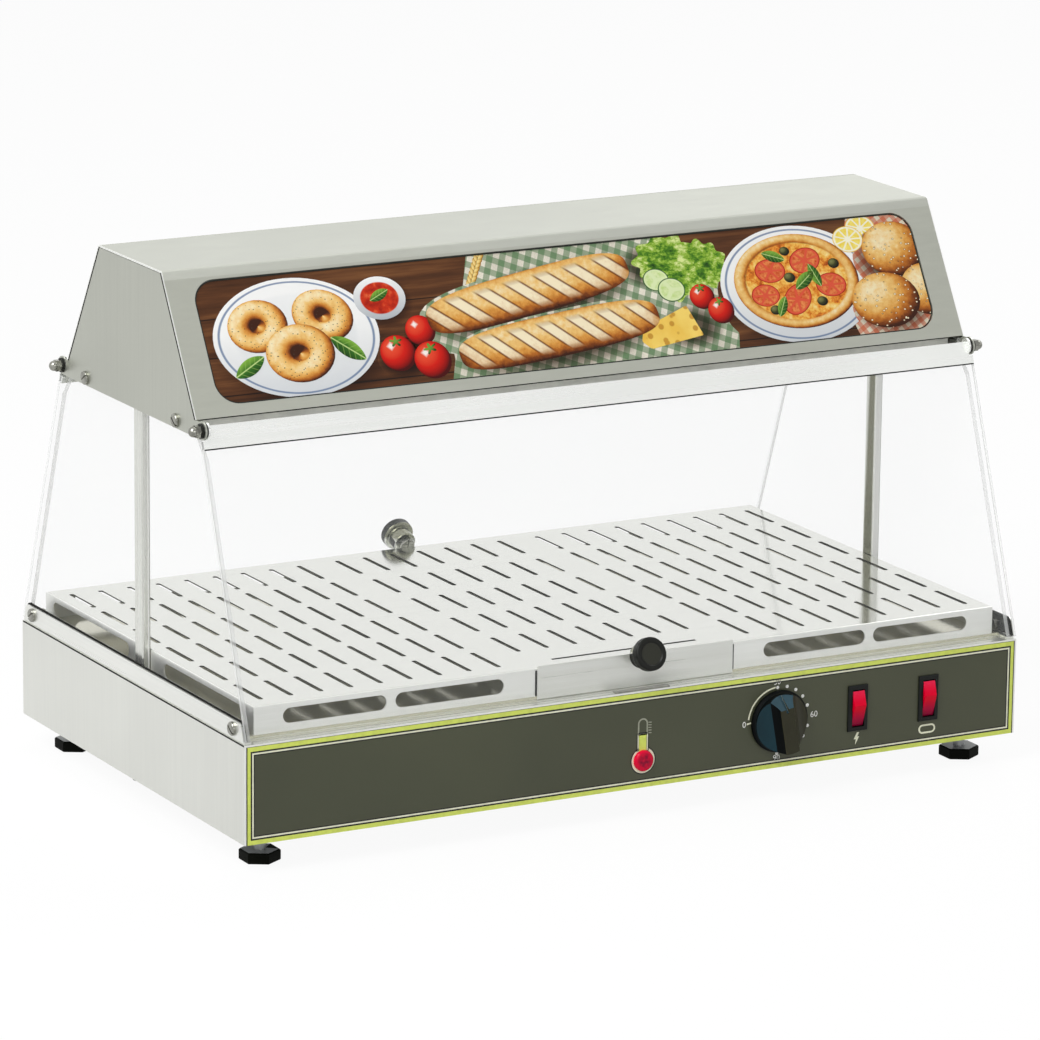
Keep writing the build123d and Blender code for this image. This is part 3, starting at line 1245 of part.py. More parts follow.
def door_pane(side):
    """Clear flap with notched upper corners."""
    shoulder = STRIP_SHOULDER
    top = STRIP_TOP + STRIP_SHEET
    narrow = DOOR_EAR_X - SHEET
    pane = door_box(-DOOR_HALF_X, DOOR_HALF_X, DOOR_INNER, DOOR_OUTER, STRIP_BOTTOM, DOOR_LENGTH)
    pane += door_box(-narrow, narrow, DOOR_INNER, DOOR_OUTER, top, STRIP_BOTTOM)
    pane += door_box(-STRIP_HALF_X, STRIP_HALF_X, DOOR_INNER, DOOR_OUTER, shoulder, STRIP_BOTTOM)
    hole = front_door_frame() * rod_y(DOOR_INNER - 1, DOOR_OUTER + 1, 0, -KNOB_DOWN, DOOR_SCREW_R)
    return on_side(pane - hole, side)


def door_strip(side):
    """Bright channel over the top of a pane, closed at each end by an ear with a welded stud."""
    narrow = DOOR_EAR_X
    strip = door_box(-narrow, narrow, STRIP_INNER, STRIP_OUTER, STRIP_TOP, STRIP_BOTTOM)
    strip += door_box(-STRIP_HALF_X, STRIP_HALF_X, STRIP_INNER, STRIP_OUTER, STRIP_SHOULDER, STRIP_BOTTOM)
    for end in SIDES:
        ear = rod_x(end * (narrow - SHEET), end * narrow, 0, 0, DOOR_EAR_R)
        strip += front_door_frame() * ear
    slot = door_box(
        -narrow + SHEET, narrow - SHEET, DOOR_INNER, DOOR_OUTER, STRIP_TOP + STRIP_SHEET, STRIP_BOTTOM + 1
    )
    slot += door_box(
        -STRIP_HALF_X - 1, STRIP_HALF_X + 1, DOOR_INNER, DOOR_OUTER, STRIP_SHOULDER, STRIP_BOTTOM + 1
    )
    strip -= slot
    for stud in both_x(rod_x(DOOR_EAR_X, NUT_TIP_X - NUT_DOME, -HINGE_Y, HINGE_Z, STUD_R)):
        strip += stud
    return on_side(strip, side)


def hinge_washers(side):
    """One washer on each face of both hinge ears of one door."""
    washers = []
    for x0, x1 in ((DOOR_EAR_X, CAP_INNER - GAP), (CAP_OUTER + GAP, NUT_BASE_X)):
        washer = rod_x(x0, x1, -HINGE_Y, HINGE_Z, WASHER_R)
        washer -= rod_x(x0 - 1, x1 + 1, -HINGE_Y, HINGE_Z, STUD_R)
        washers += both_x(washer)
    return group([on_side(piece, side) for piece in washers])


def acorn_nuts(side):
    """Domed nuts on the studs of one door."""
    nut = hex_x(NUT_BASE_X, NUT_BASE_X + NUT_HEX, -HINGE_Y, HINGE_Z, NUT_FLATS)
    dome = rod_x(NUT_BASE_X + NUT_HEX, NUT_TIP_X, -HINGE_Y, HINGE_Z, NUT_FLATS / 2 - 0.2)
    nut += fillet(dome.edges().filter_by(GeomType.CIRCLE).sort_by(Axis.X)[-1], NUT_ROUND)
    nut -= rod_x(NUT_BASE_X - 1, NUT_TIP_X - NUT_DOME, -HINGE_Y, HINGE_Z, STUD_R)
    return group([on_side(piece, side) for piece in both_x(nut)])


def door_knob(side):
    """Turned knob with a neck and a round disc."""
    disc_base = DOOR_KNOB_OUT - DOOR_KNOB_DISC
    screw_tip = DOOR_OUTER + DOOR_SCREW_IN_KNOB
    knob = rod_y(DOOR_OUTER, disc_base, 0, -KNOB_DOWN, DOOR_KNOB_NECK_R)
    disc = rod_y(disc_base, DOOR_KNOB_OUT, 0, -KNOB_DOWN, DOOR_KNOB_R)
    knob += fillet(disc.edges().filter_by(GeomType.CIRCLE), DOOR_KNOB_ROUND)
    knob -= rod_y(DOOR_OUTER - 1, screw_tip, 0, -KNOB_DOWN, DOOR_SCREW_R)
    return on_side(front_door_frame() * knob, side)


def door_knob_screw(side):
    """Slotted screw from the inside of a pane into its knob."""
    head_out = DOOR_INNER - DOOR_SCREW_HEAD
    slot_floor = head_out + DOOR_SCREW_SLOT
    half_slot = SCREW_SLOT / 2
    low = -KNOB_DOWN - DOOR_SCREW_HEAD_R - 1
    high = -KNOB_DOWN + DOOR_SCREW_HEAD_R + 1
    screw = rod_y(head_out, DOOR_INNER, 0, -KNOB_DOWN, DOOR_SCREW_HEAD_R)
    screw = chamfer(screw.edges().filter_by(GeomType.CIRCLE).sort_by(Axis.Y)[0], DOOR_SCREW_CHAMFER)
    screw -= block(-half_slot, half_slot, head_out - 1, slot_floor, low, high)
    screw += rod_y(DOOR_INNER, DOOR_OUTER + DOOR_SCREW_IN_KNOB, 0, -KNOB_DOWN, DOOR_SCREW_R)
    return on_side(front_door_frame() * screw, side)


# Feet

def foot_places():
    """X and Y of the four feet."""
    return [(x * FOOT_X, y * FOOT_Y) for y in SIDES for x in SIDES]


def foot(x, y):
    """Hexagonal foot with a chamfered sole, and its threaded stud drawn plain."""
    body = hex_z(0, FOOT_HEIGHT, x, y, FOOT_FLATS, FOOT_TURN)
    body = chamfer(body.faces().sort_by(Axis.Z)[0].edges(), FOOT_CHAMFER)
    body = chamfer(body.faces().sort_by(Axis.Z)[-1].edges(), FOOT_TOP_CHAMFER)
    body -= rod_z(FOOT_FLOOR, FOOT_HEIGHT + 1, x, y, FOOT_STUD_R)
    stud = rod_z(FOOT_FLOOR, PLATE_TOP + FOOT_NUT_HEIGHT + FOOT_STUD_TIP, x, y, FOOT_STUD_R)
    return group([body, stud])


def foot_nuts():
    """Weld nuts inside the base that the feet screw into."""
    nuts = []
    top = PLATE_TOP + FOOT_NUT_HEIGHT
    for x, y in foot_places():
        nut = hex_z(PLATE_TOP, top, x, y, FOOT_NUT_FLATS)
        nuts.append(nut - rod_z(PLATE_TOP - 1, top + 1, x, y, FOOT_STUD_R + RUNNING))
    return group(nuts)


def all_pieces():
    """Every piece by name."""
    pieces = {
        "base_casing": base_casing(),
        "bottom_plate": bottom_plate(),
        "bottom_screws": bottom_screws(),
        "control_panel": control_panel(),
        "deck_plate": deck_plate(),
        "bulkhead": bulkhead(),
        "insulation_board": insulation_board(),
        "heat_tray": heat_tray(),
        "heating_element": heating_element(),
        "element_supports": element_supports(),
        "terminal_block": terminal_block(),
        "cable_gland": cable_gland(),
        "strikes": strikes(),
        "thermostat_body": thermostat_body(),
        "thermostat_screws": thermostat_screws(),
        "thermostat_bulb": thermostat_bulb(),
        "thermostat_shaft": thermostat_shaft(),
        "thermostat_knob": thermostat_knob(),
        "pilot_lens": pilot_lens(),
        "pilot_lamp_body": pilot_lamp_body(),
        "switch_housings": group([switch_housing(x) for x in SWITCH_X]),
        "rocker_left": rocker(SWITCH_X[0]),
        "rocker_right": rocker(SWITCH_X[1]),
        "grid_tray": grid_tray(),
        "water_drawer": water_drawer(),
        "side_rails": side_rails(),
        "rail_screws": rail_screws(),
        "rail_spacers": rail_spacers(),
        "side_pane_left": side_pane(-1),
        "side_pane_right": side_pane(1),
        "posts": posts(),
        "hood_shell": hood_shell(),
        "picture_panel": picture_panel(),
        "hood_cap_left": hood_cap(-1),
        "hood_cap_right": hood_cap(1),
        "cap_screws": cap_screws(),
        "hood_floor": hood_floor(),
        "lamp_diffuser": lamp_diffuser(),
        "lamp_tube": lamp_tube(),
        "lamp_caps": lamp_caps(),
        "lamp_holders": lamp_holders(),
        "lamp_reflector": lamp_reflector(),
        "foot_nuts": foot_nuts(),
    }
    for name, side in (("front", -1), ("rear", 1)):
        pieces[name + "_pane"] = door_pane(side)
        pieces[name + "_strip"] = door_strip(side)
        pieces[name + "_washers"] = hinge_washers(side)
        pieces[name + "_nuts"] = acorn_nuts(side)
        pieces[name + "_knob"] = door_knob(side)
        pieces[name + "_knob_screw"] = door_knob_screw(side)
    names = ("foot_front_left", "foot_front_right", "foot_rear_left", "foot_rear_right")
    for name, (x, y) in zip(names, foot_places()):
        pieces[name] = foot(x, y)
    return pieces


def main():
    """Write one file per piece."""
    os.makedirs("parts", exist_ok=True)
    for name, shape in all_pieces().items():
        export_step(Pos(0, Y_SHIFT, 0) * shape, "parts/" + name + ".step")


main()
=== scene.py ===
from math import atan2, copysign, cos, hypot, pi, radians, sin

import bmesh
import bpy
from mathutils import Matrix, Vector


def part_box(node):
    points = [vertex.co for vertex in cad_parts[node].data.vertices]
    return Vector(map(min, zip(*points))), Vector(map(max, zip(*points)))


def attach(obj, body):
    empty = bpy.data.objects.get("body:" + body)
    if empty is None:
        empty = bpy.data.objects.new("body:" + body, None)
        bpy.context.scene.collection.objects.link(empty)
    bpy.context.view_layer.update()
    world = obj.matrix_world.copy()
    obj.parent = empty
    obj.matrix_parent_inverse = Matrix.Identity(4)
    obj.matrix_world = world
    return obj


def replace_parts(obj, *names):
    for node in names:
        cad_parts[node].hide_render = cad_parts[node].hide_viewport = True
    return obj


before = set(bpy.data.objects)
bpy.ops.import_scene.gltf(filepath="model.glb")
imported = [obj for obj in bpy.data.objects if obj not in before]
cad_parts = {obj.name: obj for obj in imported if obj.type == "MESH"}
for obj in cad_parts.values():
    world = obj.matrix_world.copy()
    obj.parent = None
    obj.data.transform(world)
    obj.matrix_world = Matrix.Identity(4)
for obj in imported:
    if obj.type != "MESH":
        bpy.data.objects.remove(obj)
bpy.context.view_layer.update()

# Heated countertop display case: finishes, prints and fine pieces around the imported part.
# Objects are in metres; sizes given on their own are in millimetres, and MM turns them into metres.
MM = 0.001
INK = 0.06 * MM
INK_LIFT = 0.02 * MM
PRINT_STEP = 0.02 * MM
WELD = 0.002 * MM
FLAT = radians(0.5)
EASE_ANGLE = radians(35)
HAIR = 0.02
SIDES = (-1, 1)

# Where the prints lie: the panel's front face, and the picture in the sloping front of the hood
PANEL_LOW, PANEL_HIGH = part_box("control_panel")
PANEL_FACE = PANEL_LOW[1]
PANEL_HALF = PANEL_HIGH[0] / MM
PANEL_TALL = (PANEL_HIGH[2] - PANEL_LOW[2]) / MM
PICTURE_LOW, PICTURE_HIGH = (Vector(corner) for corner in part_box("picture_panel"))
PICTURE_BOARD = 2.5 * MM
PICTURE_HALF, PICTURE_RISE, PICTURE_CORNER = 274.35, 42.61, 16.0
LAMP_UP = 18.8
LAMP_Z = PANEL_LOW[2] + LAMP_UP * MM
DIAL_X, DIAL_UP = 104.8, 33.0
DIAL_TURN = radians(10)
DIAL_MIDDLE = sum((Vector(corner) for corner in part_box("thermostat_knob")), Vector()) / (2 * MM)
DIAL_RIM = 19.4
DIAL_DOTS = ((103.9, 56.2), (111.4, 56.0), (118.2, 53.0), (123.8, 47.8), (127.6, 41.0), (128.0, 26.6), (124.8, 19.8),
             (104.2, 10.0))
SWITCHES = (167.4, 223.9)
BOLT = ((0.2, 4.0), (-2.2, -0.7), (-0.5, -0.7), (-1.0, -4.6), (2.1, 1.0), (0.6, 1.0), (2.0, 4.0))

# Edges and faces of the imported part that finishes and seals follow
TRAY_HALF_X, TRAY_HALF_Y, TRAY_TOP = (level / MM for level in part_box("grid_tray")[1])
RIM_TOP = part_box("side_rails")[0][2] / MM
RIM_X, RIM_HALF_Y = 294.98, 173.4
RAIL_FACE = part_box("side_rails")[1][0] / MM
DRAWER_SIDE, DRAWER_LOW, DRAWER_HIGH = 75.4, 90.2, 107.6
HOOD_FOLD_Y, HOOD_EDGE_Y, HOOD_EDGE_Z, HOOD_TOP = 48.6, 100.0, 286.5, 374.4
HOOD_RISE, HOOD_RUN = HOOD_TOP - HOOD_EDGE_Z, HOOD_EDGE_Y - HOOD_FOLD_Y
HOOD_SLOPE = atan2(HOOD_RISE, HOOD_RUN)
HOOD_INSIDE = 292.0
CAP_FACE = -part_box("hood_cap_left")[0][0] / MM
POST_INNER, POST_OUTER = 282.0, 288.0
DOOR_LEAN = (0.944, 0.330)
DOOR_INSIDE = 293.3
HINGE_Y, HINGE_Z = 108.5, 281.0
DOOR_KNOBS = [sum((Vector(corner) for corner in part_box(node)), Vector()) / (2 * MM)
              for node in ("front_knob", "rear_knob")]
FOOT_X, FOOT_Y, FOOT_TOP, STUD_R = 269.7, 145.0, 7.5, 4.0
ON_PANEL = Matrix.Translation((0, PANEL_FACE, PANEL_LOW[2])) @ Matrix.Rotation(pi / 2, 4, "X")
ON_PICTURE = (Matrix.Translation((PICTURE_LOW + PICTURE_HIGH) / 2) @ Matrix.Rotation(HOOD_SLOPE, 4, "X")
              @ Matrix.Translation((0, 0, PICTURE_BOARD / 2)))


def paint(red, green, blue):
    """A colour given as it looks on a screen, from 0 to 255, as Blender's linear values."""
    levels = []
    for level in (red, green, blue):
        share = level / 255
        levels.append(share / 12.92 if share <= 0.04045 else ((share + 0.055) / 1.055) ** 2.4)
    return (*levels, 1.0)


# Node helpers

class Signal:
    """A value, colour or place on its way through a shader; arithmetic on it adds the nodes that do it."""

    def __init__(self, tree, socket):
        self.tree = tree
        self.socket = socket

    def __add__(self, other):
        return calc("ADD", self, other)

    def __sub__(self, other):
        return calc("SUBTRACT", self, other)

    def __rsub__(self, other):
        return calc("SUBTRACT", other, self)

    def __mul__(self, other):
        return calc("MULTIPLY", self, other)

    def __truediv__(self, other):
        return calc("DIVIDE", self, other)

    def __gt__(self, other):
        return calc("GREATER_THAN", self, other)

    def __lt__(self, other):
        return calc("LESS_THAN", self, other)

    def __abs__(self):
        return calc("ABSOLUTE", self)


def feed(node, values):
    """Gives each named or numbered socket of a node its signal or its constant."""
    for name, value in values.items():
        if isinstance(value, Signal):
            value.tree.links.new(value.socket, node.inputs[name])
        else:
            node.inputs[name].default_value = value


def added(tree, kind, inputs, output=0, **settings):
    """A new node with its settings and inputs; returns the signal of one output."""
    node = tree.nodes.new("ShaderNode" + kind)
    for name, value in settings.items():
        setattr(node, name, value)
    feed(node, inputs)
    return Signal(tree, node.outputs[output])


def calc(kind, first, second=0.0):
    """One arithmetic step on signals and numbers."""
    tree = (first if isinstance(first, Signal) else second).tree
    return added(tree, "Math", {0: first, 1: second}, operation=kind)


def new_finish(name, colour, roughness, metallic=0.0):
    """A material with one main shader; returns the material, its nodes and the shader."""
    material = bpy.data.materials.new(name)
    material.use_nodes = True
    shader = material.node_tree.nodes["Principled BSDF"]
    feed(shader, {"Base Color": colour, "Roughness": roughness, "Metallic": metallic})
    return material, material.node_tree, shader


def place_coords(tree, scale=(1, 1, 1), shift=(0, 0, 0)):
    """Object coordinates, stretched and moved."""
    source = added(tree, "TexCoord", {}, "Object")
    return added(tree, "Mapping", {"Vector": source, "Scale": scale, "Location": shift}, "Vector")


def split(vector):
    """A vector's three numbers, by axis."""
    node = vector.tree.nodes.new("ShaderNodeSeparateXYZ")
    feed(node, {"Vector": vector})
    return {axis: Signal(vector.tree, node.outputs[axis]) for axis in "XYZ"}


def noise(coords, scale, detail=3.0, roughness=0.5):
    """A noise pattern from 0 to 1."""
    return added(coords.tree, "TexNoise", {"Vector": coords, "Scale": scale, "Detail": detail,
                                           "Roughness": roughness}, "Fac")


def cells(coords, scale):
    """Distance to the nearest of scattered points."""
    return added(coords.tree, "TexVoronoi", {"Vector": coords, "Scale": scale}, "Distance")


def ramp(source, stops):
    """Colours along a value: stops are (place, colour) pairs."""
    node = source.tree.nodes.new("ShaderNodeValToRGB")
    band = node.color_ramp
    while len(band.elements) < len(stops):
        band.elements.new(0.5)
    for element, (place, colour) in zip(band.elements, stops):
        element.position = place
        element.color = colour
    feed(node, {"Fac": source})
    return Signal(source.tree, node.outputs["Color"])


def spread(source, low, high, start=0.3, end=0.7):
    """A value turned into the range low to high."""
    return added(source.tree, "MapRange", {"Value": source, "From Min": start, "From Max": end, "To Min": low,
                                           "To Max": high}, "Result")


def mixed(share, first, second, kind="MIX", data="RGBA"):
    """Two colours mixed by a share, or two numbers where data is FLOAT."""
    tree = next(value.tree for value in (share, first, second) if isinstance(value, Signal))
    node = tree.nodes.new("ShaderNodeMix")
    node.data_type = data
    node.blend_type = kind
    node.clamp_factor = True
    sockets = {socket.name: number for number, socket in enumerate(node.inputs) if socket.enabled}
    feed(node, {sockets["Factor"]: share, sockets["A"]: first, sockets["B"]: second})
    return Signal(tree, next(socket for socket in node.outputs if socket.enabled))


def dent(shader, height, distance, strength):
    """A fine surface from a height pattern."""
    bump = added(height.tree, "Bump", {"Height": height, "Distance": distance, "Strength": strength}, "Normal")
    feed(shader, {"Normal": bump})


# Shape helpers: a flat shape is made on its own in a unit size, then laid out in millimetres and thickened

def spot(across, up, half_width=1.0, half_height=1.0, turn=0.0):
    """Where a flat shape of unit half size lies, in millimetres and degrees."""
    return (Matrix.Translation((across * MM, up * MM, 0)) @ Matrix.Rotation(radians(turn), 4, "Z")
            @ Matrix.Diagonal((half_width * MM, half_height * MM, 1, 1)))


def raised(bm, offset):
    """Thickens flat faces by an offset, and turns all faces outward."""
    new = bmesh.ops.extrude_face_region(bm, geom=bm.faces[:], use_keep_orig=True)["geom"]
    bmesh.ops.translate(bm, vec=offset, verts=[item for item in new if isinstance(item, bmesh.types.BMVert)])
    bmesh.ops.recalc_face_normals(bm, faces=bm.faces)
    return bm


def laid(bm, place, thick):
    """Maps a flat shape from -1 to 1, lays it at its place and gives it its thickness."""
    layer = bm.loops.layers.uv.new("motif")
    for face in bm.faces:
        for loop in face.loops:
            loop[layer].uv = loop.vert.co.xy
    bmesh.ops.transform(bm, matrix=place, verts=bm.verts)
    return raised(bm, (0, 0, thick))


def rounded(bm, radius, steps):
    """Rounds the corners of a flat shape."""
    bmesh.ops.bevel(bm, geom=bm.verts[:], offset=radius, offset_type="OFFSET", segments=steps, profile=0.5,
                    affect="VERTICES", material=-1)


def disc(place, thick=INK, sides=32, waves=0, depth=0.0, square=1.0, leaf=False):
    """A filled round; it may be wavy along its edge, squarer than a circle, or pointed like a leaf."""
    bm = bmesh.new()
    bmesh.ops.create_circle(bm, cap_ends=True, radius=1.0, segments=sides)
    for vert in bm.verts:
        angle = atan2(vert.co.y, vert.co.x)
        if waves:
            vert.co *= 1 - depth + depth * sin(waves * angle)
        if square != 1.0:
            vert.co.x = copysign(abs(vert.co.x) ** square, vert.co.x)
            vert.co.y = copysign(abs(vert.co.y) ** square, vert.co.y)
        if leaf:
            vert.co.y *= abs(sin(angle)) ** 0.6
    return laid(bm, place, thick)


def arc(place, radius, line, start, end, steps=18):
    """A curved line round a middle, between two angles in degrees."""
    bm = bmesh.new()
    ends = [bm.verts.new((reach, 0, 0)) for reach in (radius - line / 2, radius + line / 2)]
    edge = bm.edges.new(ends)
    bmesh.ops.rotate(bm, cent=(0, 0, 0), matrix=Matrix.Rotation(radians(start), 3, "Z"), verts=ends)
    bmesh.ops.spin(bm, geom=ends + [edge], cent=(0, 0, 0), axis=(0, 0, 1), angle=radians(end - start),
                   steps=steps, use_merge=False)
    return laid(bm, place, INK)


def board(half_width, half_height, corner=0.0, line=0.0, place=spot(0, 0), thick=INK, steps=6):
    """A rectangle in millimetres, with rounded corners if wanted, or only a line of even width along its edge."""
    bm = bmesh.new()
    bmesh.ops.create_grid(bm, x_segments=1, y_segments=1, size=1.0)
    bmesh.ops.scale(bm, vec=(half_width, half_height, 1), verts=bm.verts)
    if corner:
        rounded(bm, corner, steps)
    if line:
        middle = bm.faces[:]
        bmesh.ops.inset_region(bm, faces=middle, thickness=line, use_even_offset=True, use_boundary=True)
        bmesh.ops.delete(bm, geom=middle, context="FACES")
    bmesh.ops.scale(bm, vec=(1 / half_width, 1 / half_height, 1), verts=bm.verts)
    return laid(bm, place @ Matrix.Diagonal((half_width, half_height, 1, 1)), thick)


def patch(corners, place=spot(0, 0), thick=INK, rounding=0.0):
    """A flat shape with the given corners, in millimetres, rounded if wanted."""
    bm = bmesh.new()
    bm.faces.new([bm.verts.new((across, up, 0)) for across, up in corners])
    if rounding:
        rounded(bm, rounding, 3)
    reach = max(max(abs(vert.co.x), abs(vert.co.y)) for vert in bm.verts)
    bmesh.ops.scale(bm, vec=(1 / reach, 1 / reach, 1), verts=bm.verts)
    return laid(bm, place @ Matrix.Diagonal((reach, reach, 1, 1)), thick)


def number(text, across, up, tall):
    """A plain number, made a mesh before it is placed; tall is the height of a digit in millimetres."""
    curve = bpy.data.curves.new("number", "FONT")
    curve.body = text
    curve.align_x = "CENTER"
    curve.align_y = "CENTER"
    curve.resolution_u = 3
    holder = bpy.data.objects.new("number", curve)
    mesh = bpy.data.meshes.new_from_object(holder)
    bpy.data.objects.remove(holder)
    bpy.data.curves.remove(curve)
    bm = bmesh.new()
    bm.from_mesh(mesh)
    bpy.data.meshes.remove(mesh)
    bmesh.ops.remove_doubles(bm, verts=bm.verts, dist=0.0001)
    size = tall / (max(vert.co.y for vert in bm.verts) - min(vert.co.y for vert in bm.verts))
    return laid(bm, spot(across, up, size, size), INK)


def clipped(bm):
    """Cuts a laid shape off along the picture's edges."""
    for side in SIDES:
        for reach, way in ((PICTURE_HALF, Vector((side, 0, 0))), (PICTURE_RISE, Vector((0, side, 0)))):
            cut = bmesh.ops.bisect_plane(bm, geom=bm.verts[:] + bm.edges[:] + bm.faces[:], dist=1e-8,
                                         plane_co=way * reach * MM, plane_no=way, clear_outer=True)
            rims = [item for item in cut["geom_cut"] if isinstance(item, bmesh.types.BMEdge)]
            if rims:
                bmesh.ops.holes_fill(bm, edges=rims)
    return bm


def joined(shapes):
    """One mesh of several."""
    whole = bmesh.new()
    whole.loops.layers.uv.new("motif")
    for shape in shapes:
        mesh = bpy.data.meshes.new("shape")
        shape.to_mesh(mesh)
        shape.free()
        whole.from_mesh(mesh)
        bpy.data.meshes.remove(mesh)
    return whole


def piece_of(name, bm, body, slot, *finishes):
    """An object of the shape that rides on its body; its slot argument is not used."""
    mesh = bpy.data.meshes.new(name)
    bm.to_mesh(mesh)
    bm.free()
    for finish in finishes:
        mesh.materials.append(finish)
    piece = bpy.data.objects.new(name, mesh)
    bpy.context.scene.collection.objects.link(piece)
    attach(piece, body)
    return piece


def printed(name, shapes, carrier, slot, finish):
    """Printed shapes on the panel or the picture, just above what carries them."""
    bm = joined(shapes)
    bmesh.ops.transform(bm, matrix=carrier @ Matrix.Translation((0, 0, INK_LIFT)), verts=bm.verts)
    return piece_of(name, bm, "cabinet", slot, finish)


def copied(node):
    """A welded copy of a CAD node's shape."""
    bm = bmesh.new()
    bm.from_mesh(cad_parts[node].data)
    bmesh.ops.remove_doubles(bm, verts=bm.verts, dist=WELD)
    return bm


def eased(node, body, slot, width, finishes, choose=None, shape=None):
    """A CAD node made over with eased edges and then shaped; choose gives each face the number of its finish."""
    bm = copied(node)
    bmesh.ops.dissolve_limit(bm, angle_limit=FLAT, verts=bm.verts, edges=bm.edges)
    bm.normal_update()
    edges = [edge for edge in bm.edges if len(edge.link_faces) == 2 and edge.calc_face_angle() > EASE_ANGLE]
    bmesh.ops.bevel(bm, geom=edges, offset=width * MM, offset_type="OFFSET", segments=2, profile=0.5,
                    affect="EDGES", material=-1, clamp_overlap=True)
    if shape:
        shape(bm)
    bm.normal_update()
    flat_way = max(bm.faces, key=lambda face: face.calc_area()).normal.copy()
    for face in bm.faces:
        face.smooth = False
        if choose:
            face.material_index = choose(face.normal, face.calc_center_median() / MM, flat_way)
    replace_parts(piece_of(node + "_dressed", bm, body, slot, *finishes), node)


# Where a sheet's zones lie: each mask takes the place as three numbers in millimetres

def all_of(*masks):
    """Marks what every mask marks."""
    whole = masks[0]
    for mask in masks[1:]:
        whole = whole * mask
    return whole


def above(height):
    """Marks what lies higher than a height."""
    return lambda parts: parts["Z"] > height


def between(axis, low, high, soft=0.15):
    """Marks what lies between two places along an axis, with soft ends."""
    return lambda parts: (spread(parts[axis], 0.0, 1.0, low - soft, low + soft)
                          * spread(parts[axis], 1.0, 0.0, high - soft, high + soft))


def front_edge(parts):
    """Marks the sheet edges that face the front."""
    return parts["Y"] < PANEL_FACE / MM + 0.15


def hood_slope(parts):
    """Marks the slopes of the hood, below its folds."""
    return spread(abs(parts["Y"]), 0.0, 1.0, HOOD_FOLD_Y - 1.5, HOOD_FOLD_Y + 1.5)


def hood_fold(parts):
    """Marks the rounded folds of the hood."""
    return abs(abs(parts["Y"]) - HOOD_FOLD_Y) < 3.2


def hood_end(parts):
    """Marks the cut ends of the hood's sheet."""
    return abs(parts["X"]) > CAP_FACE - 0.45


def inside_tray(depth, margin):
    """Marks what lies deeper below the tray's top than a depth, and further from its sides than a margin."""
    return lambda parts: all_of(parts["Z"] < TRAY_TOP - depth, abs(parts["X"]) < TRAY_HALF_X - margin,
                                abs(parts["Y"]) < TRAY_HALF_Y - margin)


def post_shade(parts):
    """Marks the dark reflection on the inner face of the right post, wider towards its foot."""
    lean = parts["Y"] + parts["Z"] * 0.025
    return all_of(between("X", 0.0, POST_INNER + 0.4)(parts), spread(lean, 1.0, 0.0, 6.6, 9.4),
                  spread(parts["Y"], 0.0, 1.0, -5.6, -4.8))


# Finishes

def faded(colour, share):
    """A colour made darker."""
    return tuple(level * share for level in colour[:3]) + (1.0,)


WHITE = (1, 1, 1, 1)
WORN = faded(WHITE, 0.95)


def brushed_steel(name, light, dark, grain, roughness=0.34, metallic=0.85, depth=0.004, zones=()):
    """Sheet steel with fine brushing; a zone is a part of it with another colour, gloss and share of metal."""
    material, tree, shader = new_finish(name, light, roughness, metallic)
    lines = noise(place_coords(tree, grain), 1.0, 4.0, 0.6)
    clouds = noise(place_coords(tree), 7.0, 2.0)
    soft = ramp(clouds, [(0.35, WORN), (0.65, WHITE)])
    worn = ramp(lines, [(0.32, WORN), (0.68, WHITE)])
    colour = mixed(1.0, ramp(lines, [(0.32, dark), (0.68, light)]), soft, "MULTIPLY")
    gloss = spread(lines, roughness - 0.05, roughness + 0.07)
    for mask_of, zone_colour, zone_roughness, zone_metal in zones:
        mask = mask_of(split(place_coords(tree, (1 / MM, 1 / MM, 1 / MM))))
        colour = mixed(mask, colour, mixed(1.0, worn, zone_colour, "MULTIPLY"))
        gloss = mixed(mask, gloss, zone_roughness, data="FLOAT")
        metallic = mixed(mask, metallic, zone_metal, data="FLOAT")
    feed(shader, {"Base Color": colour, "Roughness": gloss, "Metallic": metallic})
    dent(shader, lines, depth * MM, 0.6)
    return material


def moulded(name, colour, roughness, gloss=0.4, grain=900.0, depth=0.01, coat=0.0):
    """Moulded plastic with a fine skin and faint handling marks."""
    material, tree, shader = new_finish(name, colour, roughness)
    marks = noise(place_coords(tree), 45.0, 4.0, 0.6)
    feed(shader, {"Base Color": ramp(marks, [(0.35, faded(colour, 0.82)), (0.65, colour)]),
                  "Roughness": spread(marks, roughness - 0.04, roughness + 0.06),
                  "Specular IOR Level": gloss, "Coat Weight": coat, "Coat Roughness": 0.08})
    dent(shader, noise(place_coords(tree), grain, 2.0), depth * MM, 0.5)
    return material


def clear_sheet(name, colour, alpha, roughness):
    """Clear acrylic, with faint wiping marks in its gloss."""
    material, tree, shader = new_finish(name, colour, roughness)
    wipes = noise(place_coords(tree, (30, 30, 6)), 1.0)
    feed(shader, {"Roughness": spread(wipes, roughness, roughness + 0.05), "Alpha": alpha, "IOR": 1.49})
    return material


def ink(name, colour):
    """Screen-printed ink with slightly uneven cover."""
    material, tree, shader = new_finish(name, colour, 0.42)
    cover = noise(place_coords(tree), 260.0)
    feed(shader, {"Base Color": ramp(cover, [(0.35, faded(colour, 0.9)), (0.6, colour)])})
    dent(shader, cover, 0.004 * MM, 0.4)
    return material


def panel_print():
    """Dark olive field of the control panel under a satin film."""
    material, tree, shader = new_finish("panel_field", paint(73, 76, 55), 0.42)
    film = noise(place_coords(tree), 700.0, 2.0)
    clouds = noise(place_coords(tree), 9.0, 2.0)
    feed(shader, {"Base Color": ramp(clouds, [(0.3, paint(69, 72, 52)), (0.7, paint(77, 80, 58))]),
                  "Roughness": spread(film, 0.38, 0.48)})
    dent(shader, film, 0.006 * MM, 0.4)
    return material


